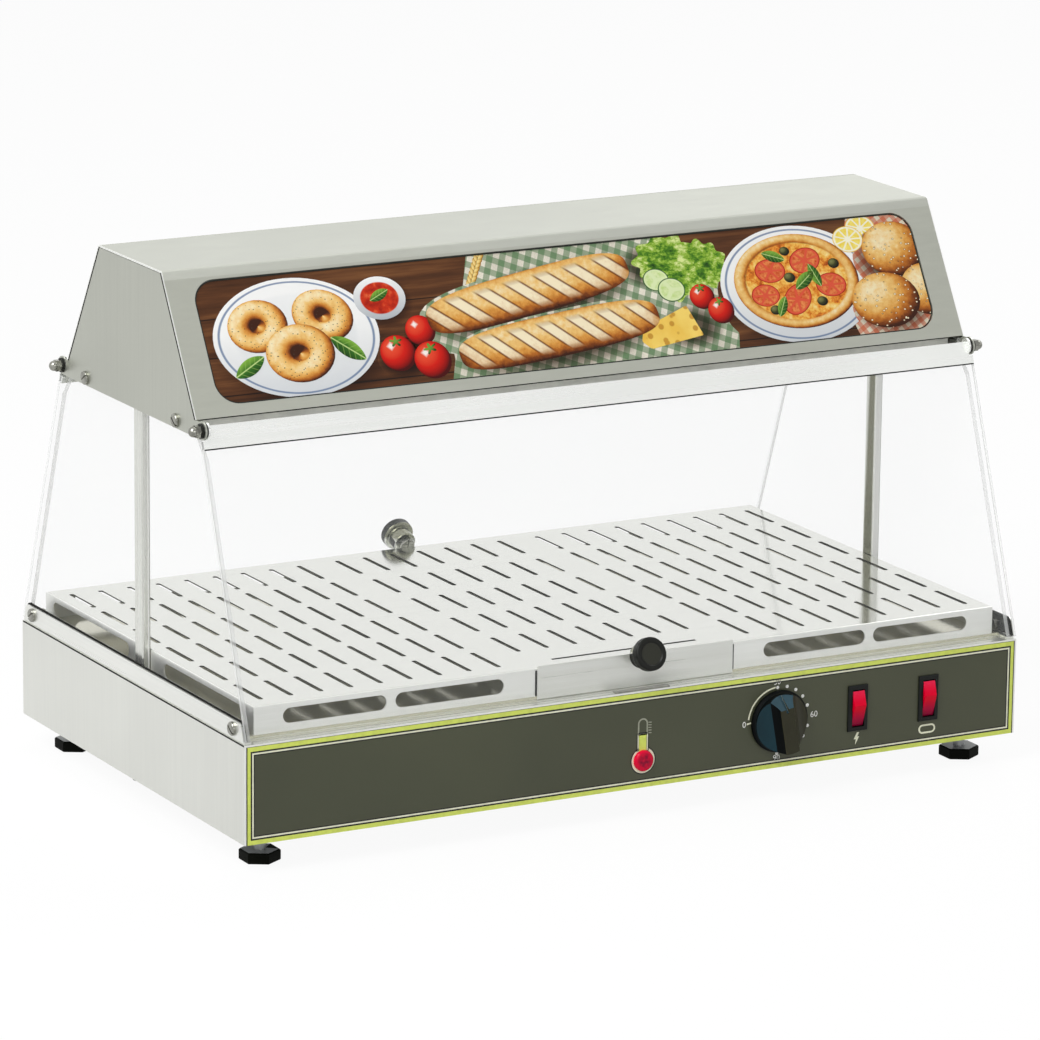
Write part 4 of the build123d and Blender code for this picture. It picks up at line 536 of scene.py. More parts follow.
def rocker_plastic():
    """Red translucent rocker, with painted light at its raised head and painted shade deeper towards its foot."""
    material, tree, shader = new_finish("red_plastic", paint(226, 0, 52), 0.28)
    height = spread(split(place_coords(tree, (1 / MM, 1 / MM, 1 / MM)))["Z"], 0.0, 1.0, 41.8, 66.7)
    height = height + (noise(place_coords(tree), 160.0) - 0.5) * 0.12
    painted_light_tint = ramp(height, [(0.02, paint(146, 0, 54)), (0.22, paint(190, 0, 62)), (0.5, paint(238, 0, 42)),
                         (0.74, paint(244, 0, 52)), (0.98, paint(252, 40, 82))])
    feed(shader, {"Base Color": painted_light_tint, "Specular IOR Level": 0.12})
    dent(shader, noise(place_coords(tree), 900.0, 2.0), 0.006 * MM, 0.4)
    return material


def lens_plastic():
    """Red moulded lens, bright at its rim, with painted shade that darkens its facets towards its middle."""
    material, tree, shader = new_finish("lens_plastic", paint(230, 0, 66), 0.2)
    from_axis = place_coords(tree, (1, 0, 1), (0, 0, -LAMP_Z))
    reach = added(tree, "VectorMath", {0: from_axis}, "Value", operation="LENGTH")
    painted_shade_middle = spread(reach, 1.0, 0.0, 0.0026, 0.0066)
    facets = spread(noise(place_coords(tree), 300.0, 1.0), 0.15, 1.0, 0.35, 0.65)
    feed(shader, {"Base Color": mixed(painted_shade_middle * facets, paint(236, 0, 58), paint(128, 0, 50)),
                  "Specular IOR Level": 0.18})
    dent(shader, cells(place_coords(tree), 480.0), 0.12 * MM, 0.6)
    return material


# Brushing runs along the axis with the low number of the three
ALONG_X, ALONG_Y, UPRIGHT = (6, 420, 300), (300, 6, 420), (300, 420, 9)
# A pale painted highlight along the sheet edges that face the front, where their folds catch the light.
FRONT_EDGE_HIGHLIGHT = (front_edge, paint(255, 255, 252), 0.3, 0.5)
# A pale painted highlight line, used on the posts.
PAINTED_HIGHLIGHT_LINE = (paint(255, 255, 252), 0.4, 0.4)
STEEL = {
    # The hood's slopes are painted a little darker than its top as painted shade, and the cut ends of its sheet are a
    # pale painted highlight.
    "hood": brushed_steel("hood_steel", paint(197, 199, 190), paint(193, 195, 186), (40, 420, 90), 0.46,
                          zones=[(hood_slope, paint(190, 192, 181), 0.46, 0.85),
                                 (hood_fold, paint(196, 198, 188), 0.8, 0.15),
                                 (hood_end, paint(240, 241, 236), 0.4, 0.3)]),
    "cap": brushed_steel("cap_steel", paint(187, 189, 179), paint(179, 181, 171), (300, 420, 7)),
    "base": brushed_steel("base_steel", paint(228, 229, 223), paint(223, 224, 218), UPRIGHT, 0.36, zones=[FRONT_EDGE_HIGHLIGHT]),
    "deck": brushed_steel("deck_steel", paint(240, 241, 235), paint(210, 212, 205), ALONG_X, 0.28,
                          zones=[(above(RIM_TOP + 0.2), paint(214, 212, 192), 0.12, 0.75), FRONT_EDGE_HIGHLIGHT]),
    # Inside the tray, the walls of its slots are painted near black as painted shade, and its deeper inner faces get
    # a dimmer, warmer painted shade.
    "tray": brushed_steel("tray_steel", paint(246, 247, 243), paint(238, 239, 234), ALONG_X, 0.36,
                          zones=[(above(TRAY_TOP - HAIR), paint(230, 231, 225), 0.12, 1.0),
                                 (inside_tray(HAIR, 2.0), paint(34, 33, 26), 0.5, 0.4),
                                 (inside_tray(0.9, 1.0), paint(206, 203, 184), 0.3, 0.6)]),
    "drawer": brushed_steel("drawer_steel", paint(238, 239, 234), paint(226, 227, 220), ALONG_X, 0.32, 0.6),
    "rail": brushed_steel("rail_steel", paint(240, 241, 236), paint(233, 234, 229), ALONG_Y, 0.3),
    # The posts carry painted light: dark lines of painted shade along an edge of each, pale painted highlight lines,
    # and a painted dark reflection on the inner face of the right post.
    "post": brushed_steel("post_steel", paint(232, 233, 227), paint(214, 215, 208), (420, 420, 6), 0.24, 0.9,
                          zones=[(between("X", -POST_INNER - 0.8, 0.2 - POST_INNER), paint(120, 120, 110), 0.3, 0.9),
                                 (between("X", -POST_INNER - 2.2, -POST_INNER - 1.2), *PAINTED_HIGHLIGHT_LINE),
                                 (post_shade, paint(122, 122, 104), 0.25, 1.0),
                                 (between("X", POST_INNER + 0.3, POST_OUTER - 0.9), *PAINTED_HIGHLIGHT_LINE),
                                 (between("X", POST_OUTER - 0.9, POST_OUTER - 0.3, 0.1), paint(150, 150, 140), 0.3,
                                  0.9)]),
    "strip": brushed_steel("strip_steel", paint(254, 255, 252), paint(248, 250, 246), (4, 200, 220), 0.25),
    "bright": brushed_steel("bright_steel", paint(172, 172, 164), paint(132, 132, 124), (260, 260, 260), 0.17, 1.0,
                            0.002),
    # The door knobs' chrome is dark, with a bright band painted on its lower half as painted reflection.
    "chrome": brushed_steel("knob_chrome", paint(150, 150, 132), paint(126, 126, 108), (60, 500, 500), 0.1, 0.9,
                            0.002, zones=[(between("Z", 90.0, 113.0, 1.5), paint(246, 247, 242), 0.14, 0.7)]),
    "zinc": brushed_steel("zinc_plate", paint(176, 178, 178), paint(158, 160, 161), (35, 35, 35), 0.45),
    "dark": brushed_steel("heater_tube", paint(104, 100, 96), paint(84, 80, 76), (80, 80, 80), 0.5),
    "aluminium": brushed_steel("aluminium_sheet", paint(212, 214, 216), paint(196, 198, 200), (6, 300, 300), 0.3),
    "copper": brushed_steel("copper_tube", paint(196, 130, 92), paint(168, 104, 70), (120, 120, 120), 0.35, 1.0),
}
PLASTIC = {
    "black": moulded("black_plastic", paint(14, 16, 10), 0.4, 0.26),
    # Black for the thin pieces that stand in for the shade in the seams, as painted shade.
    "rubber": moulded("black_rubber", paint(10, 11, 8), 0.6, 0.12),
    # The middle of a door knob's face is a lighter olive black as painted reflection.
    "knob_face": moulded("knob_face_painted_reflection_plastic", paint(42, 43, 33), 0.34, 0.3),
    "foot": moulded("foot_plastic", paint(8, 10, 5), 0.6, 0.06),
    "dial": moulded("dial_plastic", paint(14, 50, 60), 0.36, 0.22),
    # The dial knob's dark rim and bar side are painted shade, its olive front a painted reflection, its lighter tip
    # painted light and its pale edge a painted highlight.
    "dial_dark": moulded("dial_shade_plastic", paint(3, 6, 7), 0.5, 0.08),
    "dial_olive": moulded("dial_painted_reflection_plastic", paint(56, 55, 38), 0.36, 0.2),
    "dial_tip": moulded("dial_tip_painted_light_plastic", paint(44, 74, 86), 0.34, 0.3),
    "dial_edge": moulded("dial_edge_painted_highlight_plastic", paint(176, 190, 182), 0.3),
    "bezel": moulded("bezel_plastic", paint(12, 16, 14), 0.4, 0.25),
    "white": moulded("white_plastic", paint(228, 228, 222), 0.4),
    "grey": moulded("grey_plastic", paint(150, 152, 150), 0.5),
    "opal": moulded("opal_sheet", paint(244, 244, 238), 0.3, grain=500.0, depth=0.004),
    "enamel": moulded("white_enamel", paint(240, 240, 234), 0.35, grain=350.0, depth=0.02),
    "tube": moulded("lamp_tube_glass", paint(246, 246, 240), 0.12, grain=400.0, depth=0.002, coat=0.4),
    "board": moulded("mineral_board", paint(206, 198, 172), 0.9, grain=500.0, depth=0.25),
    "red": rocker_plastic(),
    "lens": lens_plastic(),
}
CLEAR = clear_sheet("clear_acrylic", (0.94, 0.97, 0.96, 1), 0.03, 0.03)
CLEAR_EDGE = clear_sheet("acrylic_edge", (0.93, 0.94, 0.93, 1), 0.5, 0.15)
# Grey for the eased lines along the panes' edges, a dark line of painted shade.
CLEAR_RIM = clear_sheet("acrylic_rim_painted_shade", (0.42, 0.43, 0.41, 1), 0.62, 0.2)
INKS = {
    "lime": ink("lime_ink", paint(234, 248, 112)),
    "pale": ink("pale_ink", paint(255, 255, 226)),
    "white": ink("white_ink", paint(255, 255, 250)),
    "grey": ink("grey_ink", paint(168, 170, 150)),
    "dark": ink("dark_ink", paint(16, 20, 10)),
}

# Which nodes wear which finish
NODE_FINISHES = (
    (STEEL["base"], "base_casing"),
    (STEEL["zinc"], "bottom_plate bottom_screws bulkhead element_supports thermostat_screws foot_nuts"),
    (panel_print(), "control_panel"),
    (STEEL["deck"], "deck_plate"),
    (STEEL["aluminium"], "heat_tray lamp_caps"),
    (STEEL["dark"], "heating_element"),
    (STEEL["copper"], "thermostat_bulb"),
    (STEEL["bright"], "strikes thermostat_shaft rail_screws cap_screws"),
    (STEEL["tray"], "grid_tray"),
    (STEEL["drawer"], "water_drawer"),
    (STEEL["rail"], "side_rails"),
    (STEEL["post"], "posts"),
    (STEEL["hood"], "hood_shell"),
    (STEEL["cap"], "hood_cap_left hood_cap_right"),
    (PLASTIC["board"], "insulation_board"),
    (PLASTIC["white"], "terminal_block pilot_lamp_body lamp_holders"),
    (PLASTIC["black"], "cable_gland rail_spacers"),
    (PLASTIC["grey"], "thermostat_body"),
    (PLASTIC["dial"], "thermostat_knob"),
    (PLASTIC["lens"], "pilot_lens"),
    (PLASTIC["bezel"], "switch_housings"),
    (PLASTIC["red"], "rocker_left rocker_right"),
    (PLASTIC["opal"], "picture_panel lamp_diffuser"),
    (PLASTIC["enamel"], "hood_floor lamp_reflector"),
    (PLASTIC["tube"], "lamp_tube"),
    (PLASTIC["foot"], "foot_front_left foot_front_right foot_rear_left foot_rear_right"),
    (CLEAR, "side_pane_left side_pane_right front_pane rear_pane"),
    (STEEL["strip"], "front_strip rear_strip"),
    (STEEL["bright"], "front_nuts rear_nuts front_knob_screw rear_knob_screw"),
    (PLASTIC["black"], "front_washers rear_washers front_knob rear_knob"),
)
for finish, nodes in NODE_FINISHES:
    for node in nodes.split():
        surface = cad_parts[node].data
        surface.materials.clear()
        surface.materials.append(finish)


# Prints on the control panel

def panel_prints():
    """Border, thermometer, dial scale and switch symbols, as thin ink on the panel."""
    def stamp(name, colour, shapes):
        printed(name, shapes, ON_PANEL, "panel", INKS[colour])

    half, tall = PANEL_HALF, PANEL_TALL / 2
    middle = spot(0, tall)

    def frame_line(inset, line):
        return board(half - inset, tall - inset, line=line, place=middle)

    # The dark ink down the panel's two ends is painted shade for the seams at the casing's front corners.
    ends = [board(0.35, tall, place=spot(side * (half - 0.35), tall), thick=2 * INK) for side in SIDES]
    stamp("panel_border_lime", "lime", [frame_line(0.0, 3.0)])
    stamp("panel_border_dark", "dark", [frame_line(3.0, 1.1), frame_line(5.2, 0.8), *ends])
    stamp("panel_border_pale", "pale", [frame_line(4.1, 1.1)])
    lamp = spot(0.2, LAMP_UP)
    tube_x, tube_half = -0.3, 3.8

    def tube_sides(offset, half_line, half_tall, up):
        return [board(half_line, half_tall, place=spot(tube_x + side * (tube_half + offset), up)) for side in SIDES]

    stamp("thermometer_fill", "lime", [board(tube_half - 0.7, 5.9, place=spot(tube_x, 31.2))])
    stamp("thermometer_rim", "pale", [arc(lamp, 8.1, 1.5, 117, 423, steps=36), *tube_sides(-0.45, 0.55, 5.7, 31.4),
                                      board(tube_half - 0.4, 0.45, place=spot(tube_x, 36.7))])
    stamp("thermometer_shade", "dark", [arc(lamp, 9.25, 0.8, 114, 426, steps=36), *tube_sides(0.5, 0.35, 6.2, 31.4),
                                        board(tube_half - 0.5, 0.5, place=spot(tube_x, 37.8))])
    ticks = [board(1.2, 0.32, place=spot(tube_x + tube_half + 1.6, 37.4 + 1.8 * step, turn=-6)) for step in range(5)]
    stamp("thermometer_glass", "grey", [arc(spot(tube_x, 44.2), tube_half - 0.5, 1.0, 0, 180),
                                        *tube_sides(-0.5, 0.5, 3.3, 40.9), *ticks])
    stamp("dial_dots", "white", [disc(spot(across, up, 1.2, 1.2), sides=20) for across, up in DIAL_DOTS])
    stamp("dial_arc", "pale", [arc(spot(DIAL_X, DIAL_UP), 23.5, 1.1, 96, 172),
                               board(1.7, 0.6, place=spot(81.9, 33.6, turn=8))])
    stamp("dial_numbers", "white", [number("0", 78.2, 33.1, 4.2), number("30", 103.6, 60.0, 3.8),
                                    number("60", 133.0, 33.8, 4.2), number("90", 104.0, 6.9, 3.9)])
    stamp("switch_symbols", "pale", [patch(BOLT, place=spot(SWITCHES[0], 12.6)),
                                     board(6.75, 3.25, corner=3.2, line=1.25, place=spot(SWITCHES[1], 12.0))])


panel_prints()


# CAD nodes with eased edges

def pane_side(normal, middle, flat_way):
    """Broad faces of a pane, its cut edges, and the eased lines between them, which carry a dark line of painted
    shade; the rear edge on the right is clear.
    """
    lean = abs(normal.dot(flat_way))
    if lean > 0.999 or (lean < 0.05 and normal.y > 0.5 and middle.x > 0):
        return 0
    return 1 if lean < 0.05 else 2


def dial_side(normal, middle, flat_way):
    """Teal left flank; painted shade on the rim and the side of the bar, a painted olive reflection on the bar and
    right flank, and painted light on the blue tip with a pale painted highlight on its edge.
    """
    from_axis = middle - DIAL_MIDDLE
    along_bar = Vector((-sin(DIAL_TURN), 0, cos(DIAL_TURN)))
    right = Vector((cos(DIAL_TURN), 0, sin(DIAL_TURN)))
    if from_axis.xz.length > DIAL_RIM and normal.y > -0.97:
        return 1
    if normal.z > 0.5 and normal.y < -0.5 and from_axis.dot(along_bar) > 8:
        return 3
    if normal.z > 0.25 and normal.dot(right) < -0.3 and normal.y < -0.25 and from_axis.dot(along_bar) > 6:
        return 4
    if from_axis.dot(right) > -5.2:
        return 2
    return 1 if normal.dot(right) < -0.7 or normal.y > -0.2 else 0


def foot_part(normal, middle, flat_way):
    """Black hexagon and bare stud."""
    from_axis = Vector((abs(middle.x) - FOOT_X, abs(middle.y) - FOOT_Y))
    return 1 if from_axis.length < STUD_R + 0.1 and middle.z > FOOT_TOP - 0.5 else 0


def knob_axis(side):
    """The way out of a door knob, and its middle in millimetres."""
    return Vector((0, copysign(DOOR_LEAN[0], side), DOOR_LEAN[1])), DOOR_KNOBS[side > 0]


def knob_part(normal, middle, flat_way):
    """Black rim and back, a face whose middle is painted a lighter olive black as painted reflection, and chrome
    towards the glass.
    """
    outward, middle_of_knob = knob_axis(middle.y)
    facing = normal.dot(outward)
    off_axis = middle - middle_of_knob
    radius = (off_axis - off_axis.dot(outward) * outward).length
    if facing > 0.97 and radius < 5.0:
        return 1
    return 2 if facing < -0.25 or (radius < 8.0 and abs(facing) < 0.5) else 0


def knob_dish(bm):
    """Sinks the face of a door knob inside a narrow rim."""
    outward = knob_axis(bm.verts[:][0].co.y)[0]
    bm.normal_update()
    for width, depth in ((1.5, 0.0), (0.9, -0.7)):
        face = max((face for face in bm.faces if face.normal.dot(outward) > 0.97), key=lambda face: face.calc_area())
        bmesh.ops.inset_region(bm, faces=[face], thickness=width * MM, depth=depth * MM, use_even_offset=True,
                               use_boundary=True)
        bm.normal_update()


for node, body in (("side_pane_left", "cabinet"), ("side_pane_right", "cabinet"), ("front_pane", "front_door"),
                   ("rear_pane", "rear_door")):
    eased(node, body, "clear", 0.3, [CLEAR, CLEAR_EDGE, CLEAR_RIM], pane_side)
for side in ("left", "right"):
    eased("rocker_" + side, side + "_rocker", "red_plastic", 0.5, [PLASTIC["red"]])
    for end in ("front", "rear"):
        foot = "foot_%s_%s" % (end, side)
        eased(foot, foot, "black_plastic", 0.35, [PLASTIC["foot"], STEEL["zinc"]], foot_part)
for door in ("front", "rear"):
    eased(door + "_knob", door + "_door", "black_plastic", 0.4,
          [PLASTIC["black"], PLASTIC["knob_face"], STEEL["chrome"]], knob_part, knob_dish)
eased("thermostat_knob", "thermostat_control", "dial_plastic", 0.3,
      [PLASTIC["dial" + part] for part in ("", "_dark", "_olive", "_tip", "_edge")], dial_side)


# Thin black pieces along the seams, standing in for the shade in their gaps as painted shade

def bar(low, high):
    """A thin bar between two corners, in millimetres."""
    bm = bmesh.new()
    bmesh.ops.create_cube(bm, size=1.0)
    low, high = Vector(low) * MM, Vector(high) * MM
    bmesh.ops.scale(bm, vec=high - low, verts=bm.verts)
    bmesh.ops.translate(bm, vec=(low + high) / 2, verts=bm.verts)
    bmesh.ops.bevel(bm, geom=bm.edges[:], offset=min(high - low) * 0.2, offset_type="OFFSET", segments=1,
                    profile=0.5, affect="EDGES", material=-1)
    return bm


def tilted(shape, place, end):
    """A shape laid at its place behind the case, or mirrored to its front."""
    if end < 0:
        place = Matrix.Diagonal((1, -1, 1, 1)) @ place
    bmesh.ops.transform(shape, matrix=place, verts=shape.verts)
    bmesh.ops.recalc_face_normals(shape, faces=shape.faces)
    return shape


def rail_shade_strip(side):
    """The rail's outer face, a little larger and set between rail and pane, so that its rim shows as a dark line of
    painted shade.
    """
    bm = copied("side_rails")
    face_x = side * RAIL_FACE * MM
    spare = [face for face in bm.faces
             if abs(face.normal.x) < 0.99 or abs(face.calc_center_median().x - face_x) > 0.1 * MM]
    bmesh.ops.delete(bm, geom=spare, context="FACES")
    bmesh.ops.dissolve_limit(bm, angle_limit=FLAT, verts=bm.verts, edges=bm.edges)
    bmesh.ops.scale(bm, vec=(1, 1.0052, 1), verts=bm.verts)
    bmesh.ops.translate(bm, vec=(-side * 1.6 * MM, 0, 0.9 * MM), verts=bm.verts)
    return raised(bm, (-side * 1.2 * MM, 0, 0))


def cap_shade_strip(side, end):
    """Dark line of painted shade down the slope of a hood cap, just inside the end of the hood's sheet."""
    place = Matrix.Translation((side * (CAP_FACE + HAIR) * MM, (HOOD_EDGE_Y - 1.3) * MM, HOOD_EDGE_Z * MM))
    lean = Matrix.Rotation(atan2(HOOD_RUN, HOOD_RISE), 4, "X")
    return tilted(bar((-0.12, -1.1, 0.0), (0.12, 0.0, hypot(HOOD_RISE, HOOD_RUN) - 1.0)), place @ lean, end)


def under_strip_shade(end):
    """Dark line of painted shade under the steel strip of a flap."""
    lean = Matrix.Rotation(atan2(DOOR_LEAN[1], DOOR_LEAN[0]), 4, "X")
    place = Matrix.Translation((0, HINGE_Y * MM, HINGE_Z * MM)) @ lean
    return tilted(bar((-DOOR_INSIDE, 0.3, -13.1), (DOOR_INSIDE, 1.15, -12.3)), place, end)


def shade_strips(name, shapes, body="cabinet"):
    """Shapes made one black piece that stands in for the shade in a gap, as painted shade."""
    whole = joined(shapes)
    whole.loops.layers.uv.remove(whole.loops.layers.uv["motif"])
    piece_of(name, whole, body, "black_plastic", PLASTIC["rubber"])


shade_strips("rail_shade_strips", [rail_shade_strip(side) for side in SIDES])
shade_strips("rim_shade_strips", [bar((side * RIM_X - 0.14, -RIM_HALF_Y, RIM_TOP - 1.15),
                         (side * RIM_X + 0.14, RIM_HALF_Y, RIM_TOP - 0.05)) for side in SIDES])
shade_strips("drawer_shade_strips", [bar((side * DRAWER_SIDE - 0.55, -TRAY_HALF_Y - 0.5, DRAWER_LOW),
                              (side * DRAWER_SIDE + 0.55, -TRAY_HALF_Y - HAIR, DRAWER_HIGH)) for side in SIDES])
shade_strips("hood_lip_shade_strips", [bar((-HOOD_INSIDE, side * 99.4 - 0.5, HOOD_EDGE_Z - 0.8),
                              (HOOD_INSIDE, side * 99.4 + 0.5, HOOD_EDGE_Z)) for side in SIDES])
shade_strips("hood_cap_shade_strips", [cap_shade_strip(side, end) for side in SIDES for end in SIDES])
shade_strips("front_door_strip_shade", [under_strip_shade(-1)], "front_door")
shade_strips("rear_door_strip_shade", [under_strip_shade(1)], "rear_door")


# Picture in the hood: a plain still life of breads, fruit and leaves, printed in layers

def motif_map(tree):
    """Place within one printed motif, from -1 to 1."""
    return added(tree, "UVMap", {}, "UV", uv_map="motif")


def motif_axes(tree):
    """Across and up within one printed motif, each from -1 to 1, and the distance from its middle."""
    parts = split(motif_map(tree))
    across, up = parts["X"], parts["Y"]
    return across, up, calc("SQRT", across * across + up * up)


def picture_place(tree, scale=(1, 1, 1)):
    """Place on the sloping picture: across, and up the slope."""
    source = added(tree, "TexCoord", {}, "Object")
    turned = added(tree, "VectorRotate", {"Vector": source, "Angle": -HOOD_SLOPE}, rotation_type="X_AXIS")
    return added(tree, "Mapping", {"Vector": turned, "Scale": scale}, "Vector")


def rounded_light(across, up, reach, lift=0.0):
    """Light from the upper left on a rounded shape, from 0 in its shade to 1 at its brightest."""
    depth = calc("SQRT", calc("MAXIMUM", 1.0 - reach * reach, 0.0))
    return depth * 0.72 + across * -0.3 + up * 0.36 + lift


def speckled(light, place, scale, strength):
    """Light made uneven by a fine pattern."""
    return light + (noise(place, scale, 5.0, 0.65) - 0.5) * strength


def film_finish(name, colour_of):
    """Printed colour under the picture's clear film, with the film's faint waves."""
    material, tree, shader = new_finish(name, (0.5, 0.5, 0.5, 1), 0.32)
    waves = noise(place_coords(tree), 60.0, 2.0)
    feed(shader, {"Base Color": colour_of(tree), "Roughness": spread(waves, 0.29, 0.37), "Specular IOR Level": 0.25})
    dent(shader, waves, 0.01 * MM, 0.3)
    return material


BAKED = [(0.0, paint(58, 26, 10)), (0.22, paint(122, 60, 20)), (0.42, paint(186, 108, 38)),
         (0.62, paint(224, 158, 72)), (0.8, paint(243, 200, 122)), (1.0, paint(254, 238, 196))]


def roll_colour(tree):
    """Round roll with a baked crust and scattered pale seeds."""
    light = speckled(rounded_light(*motif_axes(tree), 0.08), picture_place(tree), 260.0, 0.5)
    seeds = cells(motif_map(tree), 6.5)
    crust = mixed(spread(seeds, 0.75, 0.0, 0.2, 0.3), ramp(light, BAKED), paint(92, 46, 18))
    return mixed(spread(seeds, 1.0, 0.0, 0.15, 0.2), crust, paint(252, 240, 206))


def ring_colour(tree):
    """Ring-shaped roll: light and shade run round a ring, with darker seeds."""
    across, up, reach = motif_axes(tree)
    slope = (reach - 0.63) / 0.37
    light = rounded_light(across / reach * slope, up / reach * slope, abs(slope), 0.1)
    crust = ramp(speckled(light, picture_place(tree), 240.0, 0.45), BAKED)
    return mixed(spread(cells(motif_map(tree), 9.0), 0.9, 0.0, 0.14, 0.2), crust, paint(64, 52, 48))


def loaf_colour(tree):
    """Long loaf with slanting cuts through its crust."""
    across, up = motif_axes(tree)[:2]
    flat_across = calc("POWER", abs(across), 5.0) * 0.9
    place = picture_place(tree)
    light = rounded_light(flat_across, up, calc("MAXIMUM", abs(up), flat_across), 0.06)
    light = speckled(light, place, 230.0, 0.55)
    wave = abs(calc("FRACT", across * 3.4 + up * 0.62) - 0.5)
    middle = spread(abs(up), 1.0, 0.0, 0.5, 0.78)
    cut = spread(wave, 0.0, 1.0, 0.27, 0.33) * middle
    lip = spread(wave, 0.0, 1.0, 0.2, 0.26) * middle
    crumb = ramp(speckled(light, place, 420.0, 0.5), [(0.1, paint(206, 150, 82)), (0.75, paint(253, 238, 202))])
    return mixed(cut, mixed(lip, ramp(light, BAKED), paint(112, 52, 18)), crumb)


def tomato_colour(tree):
    """Small whole tomato with a bright gleam."""
    across, up, reach = motif_axes(tree)
    skin = ramp(rounded_light(across, up, reach, 0.05), [(0.05, paint(70, 4, 4)), (0.35, paint(158, 14, 10)),
                                                         (0.65, paint(214, 30, 18)), (1.0, paint(244, 92, 58))])
    gleam = abs(across + 0.32) + abs(up - 0.42)
    return mixed(spread(gleam, 1.0, 0.0, 0.12, 0.3), skin, paint(255, 244, 236))


def sliced(skin, pith, flesh, gel, count, skin_reach):
    """A round slice with a skin, a rim and pockets set round its middle."""
    def slice_colour(tree):
        across, up, reach = motif_axes(tree)
        lane = calc("FRACT", calc("ARCTAN2", up, across) * (count / (2 * pi)))
        pocket = abs(lane - 0.5) * reach
        inside = (spread(reach, 1.0, 0.0, skin_reach - 0.14, skin_reach - 0.06)
                  * spread(reach, 0.0, 1.0, 0.16, 0.26))
        wall = spread(reach * 0.5 - pocket, 0.0, 1.0, 0.05, 0.1)
        body = ramp(noise(picture_place(tree), 420.0), [(0.3, flesh), (0.7, gel)])
        face = mixed(inside * wall, pith, body)
        return mixed(spread(reach, 0.0, 1.0, skin_reach, skin_reach + 0.04), face, skin)
    return slice_colour


def leaf_colour(tree):
    """Smooth green leaf with a pale rib and side veins."""
    across, up = motif_axes(tree)[:2]
    side = abs(up)
    vein = spread(abs(calc("FRACT", across * 3.0 - side) - 0.5), 0.0, 0.5, 0.38, 0.5)
    tone = speckled((up + 1.1) * 0.42, picture_place(tree), 120.0, 0.6)
    green = ramp(tone, [(0.0, paint(18, 50, 14)), (0.45, paint(54, 112, 32)), (0.9, paint(132, 180, 66))])
    green = mixed(vein, green, paint(160, 198, 98))
    return mixed(spread(side, 1.0, 0.0, 0.03, 0.1), green, paint(196, 220, 140))


def salad_colour(tree):
    """Crinkled salad leaf, pale at its ribs and dark in its folds."""
    place = picture_place(tree, (1, 1.5, 1))
    folds = speckled(noise(place, 95.0, 5.0, 0.7), place, 330.0, 0.35)
    return ramp(motif_axes(tree)[2] * 0.12 + folds, [(0.36, paint(24, 58, 14)), (0.5, paint(78, 132, 30)),
                                                     (0.6, paint(150, 188, 62)), (0.72, paint(224, 236, 156))])


def cheese_colour(tree):
    """Yellow cheese with round holes."""
    body = ramp(noise(picture_place(tree), 50.0), [(0.3, paint(240, 190, 70)), (0.7, paint(252, 218, 112))])
    return mixed(spread(cells(picture_place(tree), 125.0), 0.75, 0.0, 0.22, 0.3), body, paint(188, 126, 34))


def tart_colour(tree):
    """Open tart: baked rim, and a filling browned in places."""
    across, up, reach = motif_axes(tree)
    slope = (reach - 0.9) / 0.1
    light = rounded_light(across * slope, up * slope, abs(slope), 0.05)
    rim = ramp(speckled(light, picture_place(tree), 260.0, 0.5), BAKED)
    brown = noise(picture_place(tree), 150.0, 5.0, 0.65)
    filling = ramp(brown, [(0.34, paint(168, 74, 22)), (0.44, paint(226, 130, 40)), (0.54, paint(246, 190, 84)),
                           (0.68, paint(254, 228, 152))])
    return mixed(spread(reach, 0.0, 1.0, 0.8, 0.83), filling, rim)


def sauce_colour(tree):
    """Red sauce in a white bowl."""
    up, reach = motif_axes(tree)[1:]
    sauce = ramp(noise(picture_place(tree), 170.0, 4.0), [(0.3, paint(150, 18, 8)), (0.55, paint(206, 52, 22)),
                                                          (0.75, paint(240, 128, 74))])
    bowl = ramp(up * 0.4 + 0.5, [(0.1, paint(178, 184, 190)), (0.9, paint(252, 252, 250))])
    return mixed(spread(reach, 0.0, 1.0, 0.72, 0.76), sauce, bowl)


def plate_colour(tree):
    """White plate: raised rim with a blue line, and a shallow well."""
    up, reach = motif_axes(tree)[1:]
    white = ramp(up * -0.3 + 0.5, [(0.1, paint(252, 252, 250)), (0.9, paint(214, 218, 220))])
    rim = ramp(up * 0.4 + 0.5, [(0.05, paint(206, 210, 214)), (0.6, paint(250, 250, 248))])
    both = mixed(spread(reach, 0.0, 1.0, 0.7, 0.76), white, rim)
    line = spread(abs(reach - 0.93), 1.0, 0.0, 0.008, 0.02)
    return mixed(line * 0.8, both, paint(70, 106, 150))


def wood_colour(tree):
    """Dark walnut boards that run across."""
    grain = noise(picture_place(tree, (9, 160, 1)), 1.0, 6.0, 0.6)
    figure = ramp(grain, [(0.25, paint(44, 24, 12)), (0.5, paint(88, 52, 28)), (0.75, paint(132, 86, 50))])
    seam = abs(calc("FRACT", split(picture_place(tree, (1, 38, 1)))["Y"]) - 0.5)
    return mixed(spread(seam, 0.0, 1.0, 0.475, 0.495), figure, paint(20, 10, 6))


